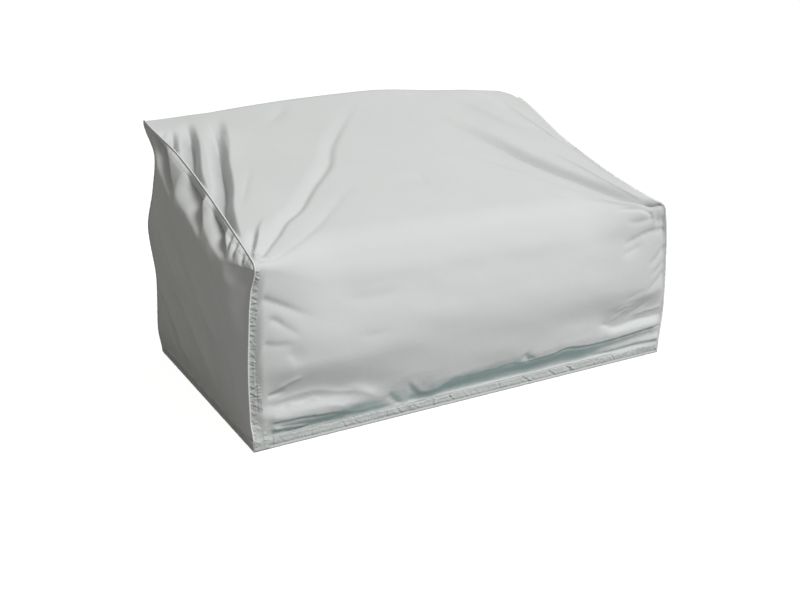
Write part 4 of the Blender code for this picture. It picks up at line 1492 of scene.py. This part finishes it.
@dataclass
class HemBand:
    """The turned-up hem, a puckered band right round the bottom edge."""

    form: CoverForm
    height: float = 0.030
    thickness: float = 0.0012
    corner_radius: float = 0.005
    lip: float = 0.0065
    groove: float = 0.0015
    tuck_in: float = 0.0012
    drop: float = 0.0006
    front_step: float = 0.0019
    right_step: float = 0.0034
    back_step: float = 0.00612
    left_step: float = 0.00272

    # Heights of the rows of points, in millimetres
    OUTER = (0.0, 0.7, 2.0, 3.5, 5.0, 6.4, 7.5, 8.6, 10.0, 12.0, 14.5, 17.0, 19.5, 22.0, 24.5, 27.0, 29.0)
    INNER = (29.0, 20.0, 10.0, 1.0)
    WAVY_FROM = 0.010
    FINE = Gathers(
        51, spacing=(0.004, 0.013), depth=(0.3, 1.2), width=0.0016, lean=1.4, reach=(0.006, 0.024)
    )
    TUCKS = Gathers(
        52, spacing=(0.018, 0.060), depth=(1.4, 3.2), width=0.0022, lean=1.6, reach=(0.014, 0.040)
    )
    # Heights in millimetres
    ROLL, GROOVE, SWELL, WAVE, EDGE_WAVE = 1.1, 1.2, 0.8, 2.6, 0.35
    # Waves of the outer face, with heights in millimetres, and of the band's upper edge
    FACE_WAVES = ((Unevenness(53, 0.030), 0.5), (Unevenness(54, 0.012), 0.3))
    TOP_WAVES = ((Unevenness(55, 0.060), 1.0), (Unevenness(56, 0.020), 0.6))
    # Usual slope at which the band leans out on its way up, and how much it varies
    LEAN = (0.10, 0.07)

    def rail(self) -> tuple[Array, Array, Array]:
        """Return the hem line around the cover, its outward normals and distances."""
        w, d, r = self.form.half_width, self.form.half_depth, self.corner_radius
        sides = (
            ((-w + r, -d), (w - r, -d), self.front_step, (w - r, -d + r), -90.0),
            ((w, -d + r), (w, d - r), self.right_step, (w - r, d - r), 0.0),
            ((w - r, d), (-w + r, d), self.back_step, (-w + r, d - r), 90.0),
            ((-w, d - r), (-w, -d + r), self.left_step, (-w + r, -d + r), 180.0),
        )
        line = []
        for start, end, step, centre, heading in sides:
            start, end = np.array(start), np.array(end)
            count = max(2, round(float(np.linalg.norm(end - start)) / step))
            line.append(start + (end - start) * np.linspace(0.0, 1.0, count, endpoint=False)[:, None])
            turn = np.radians(heading + np.linspace(0.0, 90.0, 5, endpoint=False))
            line.append(np.array(centre) + r * np.stack([np.cos(turn), np.sin(turn)], axis=1))
        line = np.vstack(line)
        run = unit(np.roll(line, -1, axis=0) - np.roll(line, 1, axis=0))
        return line, np.stack([run[:, 1], -run[:, 0]], axis=1), distances(line)

    def relief(self, walked: Array, up: Array) -> Array:
        """Return the outer face's height: a rolled lip, the stitch groove and the puckers."""
        over = up - self.lip
        roll = self.ROLL * bell(up, 0.5 * self.lip, 0.45 * self.lip)
        groove = -self.GROOVE * bell(over, self.groove, 1.1 * MM)
        band = above(over, 2 * MM, 3 * MM)
        wander = sum(height * wave.at(walked, up) for wave, height in self.FACE_WAVES)
        swell = self.SWELL * np.sin(math.pi * np.clip(over / (self.height - self.lip), 0.0, 1.0))
        lean = self.LEAN[0] + self.LEAN[1] * Unevenness(58, 0.12).along(walked)
        steady = (roll + groove + (wander + swell + lean * over / MM) * band) * MM
        return steady + (self.FINE.relief(walked, over) + self.TUCKS.relief(walked, over)) * band

    def wave(self, walked: Array) -> Array:
        """Return how far the band's wavy upper edge lies above its usual height."""
        return self.WAVE * MM * sum(share * wave.along(walked) for wave, share in self.TOP_WAVES)

    def face(self) -> tuple[Array, Array, Array]:
        """Return the outer face's points, with the places along and up it."""
        line, outward, walked = self.rail()
        levels = np.array(self.OUTER) * MM
        u, w = np.meshgrid(walked, levels, indexing="ij")
        share = np.clip((w - self.WAVY_FROM) / (levels[-1] - self.WAVY_FROM), 0.0, 1.0)
        w = w + share * self.wave(walked)[:, None]
        out = self.thickness + self.relief(u, w) + self.base(line, w)
        edge_wave = self.EDGE_WAVE * MM * Unevenness(57, 0.02).along(walked)
        outer = np.zeros((len(line), len(levels), 3))
        outer[..., :2] = line[:, None] + outward[:, None] * out[..., None]
        outer[..., 2] = w + edge_wave[:, None] * (1.0 - w / self.height) - self.drop
        return outer, walked, levels

    def base(self, line: Array, up: Array) -> Array:
        """Return how far the cloth under the band stands out."""
        form = self.form
        loose = smooth_step((1.0 - np.abs(line[:, 0]) / form.half_width) / form.front_blend)
        on_front = line[:, 1] < -form.half_depth + 0.001 * MM
        lean = form.front_lean * loose / form.arm_height
        bag = np.maximum(FrontBag().out(line[:, 0], up), -self.tuck_in)
        return np.where(on_front[:, None], bag - lean[:, None] * up, 0.0)

    def stitch_line(self) -> Array:
        """Return the line of the hem's stitches, in the groove above the rolled lip."""
        outer, _, levels = self.face()
        row = int(np.argmin(np.abs(levels - self.lip - self.groove)))
        return np.vstack([outer[:, row], outer[:1, row]])

    def build(self, shop: Workshop) -> Piece:
        """Build the band as one closed ring around the cloth's bottom edge."""
        outer, walked, levels = self.face()
        line, outward, _ = self.rail()
        inner_levels = np.array(self.INNER) * MM
        heights = np.repeat(inner_levels[None, :], len(line), axis=0)
        depth = self.base(line, heights) - self.form.cloth - self.thickness
        inner = np.zeros((len(line), len(inner_levels), 3))
        inner[..., :2] = line[:, None] + outward[:, None] * depth[..., None]
        inner[..., 2] = inner_levels
        rings = np.concatenate([outer, inner], axis=1)
        places = walked, np.concatenate([levels, -inner_levels])
        return shop.tube("hem_band", rings, places, True, shop.band)


@dataclass
class CornerBand:
    """The ruched band down the left front corner, between the seam and its topstitch."""

    form: CoverForm
    bottom: float = 0.003
    top: float = 0.472
    width: tuple[Point, ...] = (
        (0.0, 0.041), (0.035, 0.038), (0.10, 0.030), (0.25, 0.026), (0.40, 0.019), (0.485, 0.016),
    )
    thickness: float = 0.0016
    step: float = 0.0016
    columns: int = 24
    channel: float = 0.62
    border_stitch: float = 0.96
    channel_top: float = 0.30
    channel_fade: float = 0.08
    channel_width: float = 0.06

    SEAM_SIDE = Gathers(
        61, spacing=(0.0045, 0.013), depth=(1.0, 2.8), width=0.0019, lean=0.7, reach=(0.008, 0.024)
    )
    STITCH_SIDE = Gathers(
        62, spacing=(0.004, 0.011), depth=(0.5, 1.8), width=0.0015, lean=0.9, reach=(0.006, 0.018)
    )
    # Heights in millimetres: the band itself, its crown, where it lies over the hem, the
    # stitched channel and the ridge across the band above the hem
    STAND, CROWN, OVER_HEM, CHANNEL, RIDGE = 1.0, 0.9, 2.6, 1.1, 2.2
    # How much each border is drawn down in millimetres, and over what share of the width
    STITCH_BORDER = (1.3, 0.07)
    SEAM_BORDER = (0.8, 0.08)
    # Height below which the band lies over the hem, and the distance over which it comes down
    LAP = (0.036, 0.008)
    # Where the ridge leaves the seam, how steeply it falls from there, and its width
    CROSSING = (0.062, 0.15, 0.0040)

    def surface(self) -> Surface:
        """Return the band's outer layer, wider towards the hem."""
        form = self.form
        along = stations(self.top - self.bottom, self.step) + self.bottom
        reach = np.linspace(0.0, 0.05, 61)
        wide = form.body(reach - form.half_width, along)
        share = np.linspace(0.0, 1.0, self.columns + 1)
        edge = 0.7 * MM * Unevenness(64, 0.018).along(along)
        inward = share[:, None] * (curve_through(self.width, along) + edge)[None, :]
        points = np.zeros((len(share), len(along), 3))
        for row in range(len(along)):
            for axis in range(3):
                points[:, row, axis] = np.interp(inward[:, row], reach, wide.points[:, row, axis])
        made = Surface(points, inward, np.repeat(along[None, :], len(share), axis=0))
        made.raise_by(self.relief(inward, made.second))
        return made

    def relief(self, inward: Array, up: Array) -> Array:
        """Return the band's height: gathers from both of its borders, and its seams."""
        width = curve_through(self.width, up)
        share = inward / width
        fade = smooth_step(share / 0.14) * smooth_step((1.0 - share) / 0.10)
        gathered = self.SEAM_SIDE.relief(up, inward) + self.STITCH_SIDE.relief(up, width - inward)
        channel = below(up, self.channel_top, self.channel_fade)
        channel = channel * bell(share, self.channel, self.channel_width)
        start, fall, wide = self.CROSSING
        ridge = bell(up, start - fall * inward, wide) * below(share, 0.8, 0.3) * smooth_step(share / 0.1)
        steady = self.STAND + self.CROWN * np.sin(math.pi * np.clip(share, 0.0, 1.0))
        steady += self.OVER_HEM * below(up, *self.LAP) - self.CHANNEL * channel + self.RIDGE * ridge
        steady += 0.5 * Unevenness(63, 0.022).at(inward, up) * fade
        for (depth, reach), gap in ((self.STITCH_BORDER, 1.0 - share), (self.SEAM_BORDER, share)):
            steady -= depth * np.clip(1.0 - gap / reach, 0.0, 1.0)
        return steady * MM + gathered * fade

    def stitch_lines(self, made: Surface) -> list[Array]:
        """Return the lines of stitches down the band."""
        lifted = made.points + made.normals * 0.4 * MM
        low = made.second[0] < self.channel_top
        border, channel = (round(share * self.columns) for share in (self.border_stitch, self.channel))
        return [lifted[border], lifted[channel][low]]

    def build(self, shop: Workshop, made: Surface) -> Piece:
        """Build the band as a closed slab that is sunk into the cloth."""
        return shop.sheet("corner_band_left", made, self.thickness, shop.band)


class Stitcher:
    """Sews rows of stitches along lines, with Geometry Nodes."""

    INPUTS = {
        "Guide": "NodeSocketGeometry",
        "Pitch": "NodeSocketFloat",
        "Length": "NodeSocketFloat",
        "Thickness": "NodeSocketFloat",
        "Seed": "NodeSocketInt",
        "Material": "NodeSocketMaterial",
    }
    THICKNESS = 0.0009
    LENGTH_SHARE = 0.8
    SHORTEST, LONGEST = 0.82, 1.10

    def __init__(self) -> None:
        """Build the node group: stitches strung along the edges of a guide."""
        tree = self.tree = bpy.data.node_groups.new("row of stitches", "GeometryNodeTree")
        for name, kind in self.INPUTS.items():
            tree.interface.new_socket(name=name, in_out="INPUT", socket_type=kind)
        tree.interface.new_socket(name="Stitches", in_out="OUTPUT", socket_type="NodeSocketGeometry")
        come = add(tree, "NodeGroupInput").outputs

        def step(kind: str, values: dict, output: int = 0, **settings: object) -> Socket:
            """Add a node and return one of its outputs."""
            return add(tree, kind, values, **settings).outputs[output]

        curve = step("GeometryNodeMeshToCurve", {"Mesh": come["Guide"]})
        pitch = {"Curve": curve, "Length": come["Pitch"]}
        even = step("GeometryNodeResampleCurve", pitch, mode="LENGTH")
        ball = step("GeometryNodeMeshUVSphere", {"Segments": 6, "Rings": 4, "Radius": 0.5})
        sizes = {"X": come["Length"], "Y": come["Thickness"], "Z": come["Thickness"]}
        size = step("ShaderNodeCombineXYZ", sizes)
        stitch = step("GeometryNodeTransform", {"Geometry": ball, "Scale": size})
        tangent = step("GeometryNodeInputTangent", {})
        turn = step("FunctionNodeAlignRotationToVector", {"Vector": tangent}, axis="X")
        spread = {2: self.SHORTEST, 3: self.LONGEST, "Seed": come["Seed"]}
        vary = step("FunctionNodeRandomValue", spread, 1)
        row = {"Points": even, "Instance": stitch, "Rotation": turn, "Scale": vary}
        strung = step("GeometryNodeInstanceOnPoints", row)
        real = step("GeometryNodeRealizeInstances", {0: strung})
        finish = {"Geometry": real, "Material": come["Material"]}
        finished = step("GeometryNodeSetMaterial", finish)
        add(tree, "NodeGroupOutput", {"Stitches": finished})

    def sew(
        self, name: str, lines: Sequence[Array], shop: Workshop, seed: int, pitch: float = 0.0040
    ) -> Piece:
        """Sew rows of stitches along lines.

        Args:
            name: The piece's name.
            lines: Lines in the cloth, from the middle of the hem.
            shop: The origin and the finishes.
            seed: Seed of the stitches' unevenness.
            pitch: Distance between two stitches.

        Returns:
            The stitches as one plain mesh.
        """
        points = np.vstack(lines) - np.array(shop.origin)
        edges = []
        for line in lines:
            start = edges[-1][1] + 1 if edges else 0
            edges += [(start + k, start + k + 1) for k in range(len(line) - 1)]
        mesh = bpy.data.meshes.new(f"{name}_guide")
        mesh.from_pydata(points.tolist(), edges, [])
        guide = bpy.data.objects.new(f"{name}_guide", mesh)
        bpy.context.scene.collection.objects.link(guide)
        sewing = guide.modifiers.new("sewing", "NODES")
        sewing.node_group = self.tree
        values = {
            "Pitch": pitch,
            "Length": self.LENGTH_SHARE * pitch,
            "Thickness": self.THICKNESS,
            "Seed": seed,
            "Material": shop.thread,
        }
        for item in self.tree.interface.items_tree:
            if item.in_out == "INPUT" and item.name in values:
                sewing[item.identifier] = values[item.name]
        bpy.context.view_layer.update()
        graph = bpy.context.evaluated_depsgraph_get()
        made = bpy.data.objects.new(name, bpy.data.meshes.new_from_object(guide.evaluated_get(graph)))
        bpy.data.objects.remove(guide)
        bpy.context.scene.collection.objects.link(made)
        return declare(made)


@dataclass(frozen=True)
class SoftLight:
    """One square soft light: where it hangs and what it faces, from the middle of the hem."""

    name: str
    place: Place
    target: Place
    size: float
    power: float


@dataclass
class Studio:
    """Camera, floor and soft light."""

    origin: Vector
    eye: Place = (-1.4129, -2.3957, 1.1037)
    pitch: float = -18.474
    heading: float = -29.886
    sensor: float = 36.0
    focal_px: float = 931.33
    picture_px: float = 800.0
    clip_start: float = 0.05
    ambient: float = 0.28
    ambient_colour: Place = (1.05, 0.995, 0.935)
    backdrop: float = 1.15
    floor_colour: float = 0.31
    floor_glow: float = 0.93
    floor_half: float = 14.0
    floor_level: float = -0.0012
    lights: tuple[SoftLight, ...] = (
        SoftLight("key_light", (3.95, -8.60, 10.80), (0.0, -0.1, 0.4), 5.2, 1620.0),
    )

    def build(self) -> None:
        """Build all of it."""
        self.place_camera()
        self.light_world()
        for light in self.lights:
            self.hang(light)
        self.lay_floor()

    def place_camera(self) -> None:
        """Stand the camera at the picture's viewpoint."""
        data = bpy.data.cameras.new("studio_camera")
        data.sensor_width = self.sensor
        data.lens = self.focal_px * self.sensor / self.picture_px
        data.clip_start = self.clip_start
        camera = bpy.data.objects.new("studio_camera", data)
        camera.location = Vector(self.eye) - self.origin
        camera.rotation_euler = (math.radians(90.0 + self.pitch), 0.0, math.radians(self.heading))
        bpy.context.scene.collection.objects.link(camera)
        bpy.context.scene.camera = camera

    @staticmethod
    def for_camera(tree: Tree, others: float, camera: float) -> Socket:
        """Return a strength that differs between what the camera sees and what lights."""
        seen = add(tree, "ShaderNodeLightPath").outputs["Is Camera Ray"]
        strengths = {"Value": seen, "To Min": others, "To Max": camera}
        return add(tree, "ShaderNodeMapRange", strengths).outputs[0]

    def light_world(self) -> None:
        """Give soft light all round, and a white backdrop to the camera."""
        world = bpy.data.worlds.new("studio_world")
        world.use_nodes = True
        tree = world.node_tree
        background = tree.nodes["Background"].inputs
        feed(tree, background["Color"], (*self.ambient_colour, 1.0))
        feed(tree, background["Strength"], self.for_camera(tree, self.ambient, self.backdrop))
        bpy.context.scene.world = world
        bpy.context.scene.view_settings.view_transform = "Standard"
        bpy.context.scene.view_settings.look = "None"

    def hang(self, soft: SoftLight) -> None:
        """Hang one soft light."""
        data = bpy.data.lights.new(soft.name, "AREA")
        data.size = soft.size
        data.energy = soft.power
        light = bpy.data.objects.new(soft.name, data)
        light.location = Vector(soft.place) - self.origin
        facing = Vector(soft.target) - Vector(soft.place)
        light.rotation_euler = facing.to_track_quat("-Z", "Y").to_euler()
        bpy.context.scene.collection.objects.link(light)

    def lay_floor(self) -> None:
        """Lay the pale floor on which the hem ends."""
        mesh = bpy.data.meshes.new("studio_floor")
        half = self.floor_half
        level = self.floor_level - self.origin.z
        corners = [(-half, -half, level), (half, -half, level), (half, half, level), (-half, half, level)]
        mesh.from_pydata(corners, [], [(0, 1, 2, 3)])
        material = bpy.data.materials.new("pale_floor")
        material.use_nodes = True
        tree = material.node_tree
        looks = {
            "Base Color": (*[self.floor_colour] * 3, 1.0),
            "Roughness": 1.0,
            "Specular IOR Level": 0.0,
            "Emission Color": (1.0, 1.0, 1.0, 1.0),
            "Emission Strength": self.for_camera(tree, 0.0, self.floor_glow),
        }
        for name, value in looks.items():
            feed(tree, tree.nodes["Principled BSDF"].inputs[name], value)
        mesh.materials.append(material)
        floor = bpy.data.objects.new("studio_floor", mesh)
        bpy.context.scene.collection.objects.link(floor)


# Stitched box at the top of the corner band, on the body panel
BOX_STITCH = (
    (-0.668, 0.490), (-0.650, 0.489), (-0.633, 0.492), (-0.631, 0.503), (-0.634, 0.515),
    (-0.648, 0.518), (-0.664, 0.517), (-0.668, 0.504), (-0.668, 0.491),
)
CLOTH_FINISH = Finish(
    name="pale grey coated polyester",
    colour=(0.634, 0.662, 0.660),
    shadow_colour=(0.50, 0.66, 0.65),
    roughness=0.66,
    thread=0.0008,
    weave_depth=0.00006,
    crumple_depth=0.0009,
    crumple_size=0.045,
    mottle=0.05,
    sheen=0.08,
)
BAND_FINISH = replace(
    CLOTH_FINISH,
    name="pale grey sewn bands",
    colour=(0.562, 0.594, 0.584),
    shadow_colour=(0.42, 0.50, 0.49),
    roughness=0.70,
    crumple_depth=0.0005,
    crumple_size=0.012,
    mottle=0.08,
)
# Painted highlight: the seam crests take a lighter grey than the cloth they are folded from, so that they
# read as lit lines.
PAINTED_HIGHLIGHT_EDGE_FINISH = replace(CLOTH_FINISH, name="pale grey folded seam edge", colour=(0.74, 0.77, 0.765))
# The thread is darker than the cloth as painted shade: it stands for the shadow in the stitches' grooves.
THREAD_FINISH = replace(
    BAND_FINISH,
    name="pale grey sewing thread",
    colour=(0.56, 0.60, 0.59),
    roughness=0.60,
    thread=0.0004,
    weave_depth=0.00004,
    crumple_depth=0.0001,
    crumple_size=0.004,
    mottle=0.12,
    sheen=0.0,
)


def main() -> None:
    """Build the cover piece by piece, then the studio."""
    logging.basicConfig(level=logging.INFO, format="%(name)s %(message)s")
    LOG.info("%d solids in the frame", len(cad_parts))
    form = CoverForm()
    groups = NodeGroups()
    finishes = (CLOTH_FINISH, BAND_FINISH, PAINTED_HIGHLIGHT_EDGE_FINISH, THREAD_FINISH)
    shop = Workshop(form.origin(), *(finish.material(groups) for finish in finishes))
    panel = BodyPanel(form)
    front = panel.surface()
    body = panel.build(shop, front)
    stitcher = Stitcher()
    ends, sewn = {}, []
    for side in Side:
        end = EndPanel(form, side)
        cloth, topstitch = end.surface()
        ends[side] = end.build(shop, cloth)
        sewn.append(SeamCrest(form, side).build(shop))
        sewn.append(stitcher.sew(f"seam_stitches_{side.word}", [topstitch], shop, 71))
    hem = HemBand(form)
    sewn.append(hem.build(shop))
    sewn.append(stitcher.sew("hem_stitches", [hem.stitch_line()], shop, 72))
    band = CornerBand(form)
    ruched = band.surface()
    sewn.append(band.build(shop, ruched))
    box = smooth_path(BOX_STITCH, 5)
    lines = [*band.stitch_lines(ruched), front.read(box[:, 0], box[:, 1], 0.4 * MM)]
    sewn.append(stitcher.sew("corner_stitches", lines, shop, 73))
    Studio(form.origin()).build()


if __name__ == "__main__":
    main()
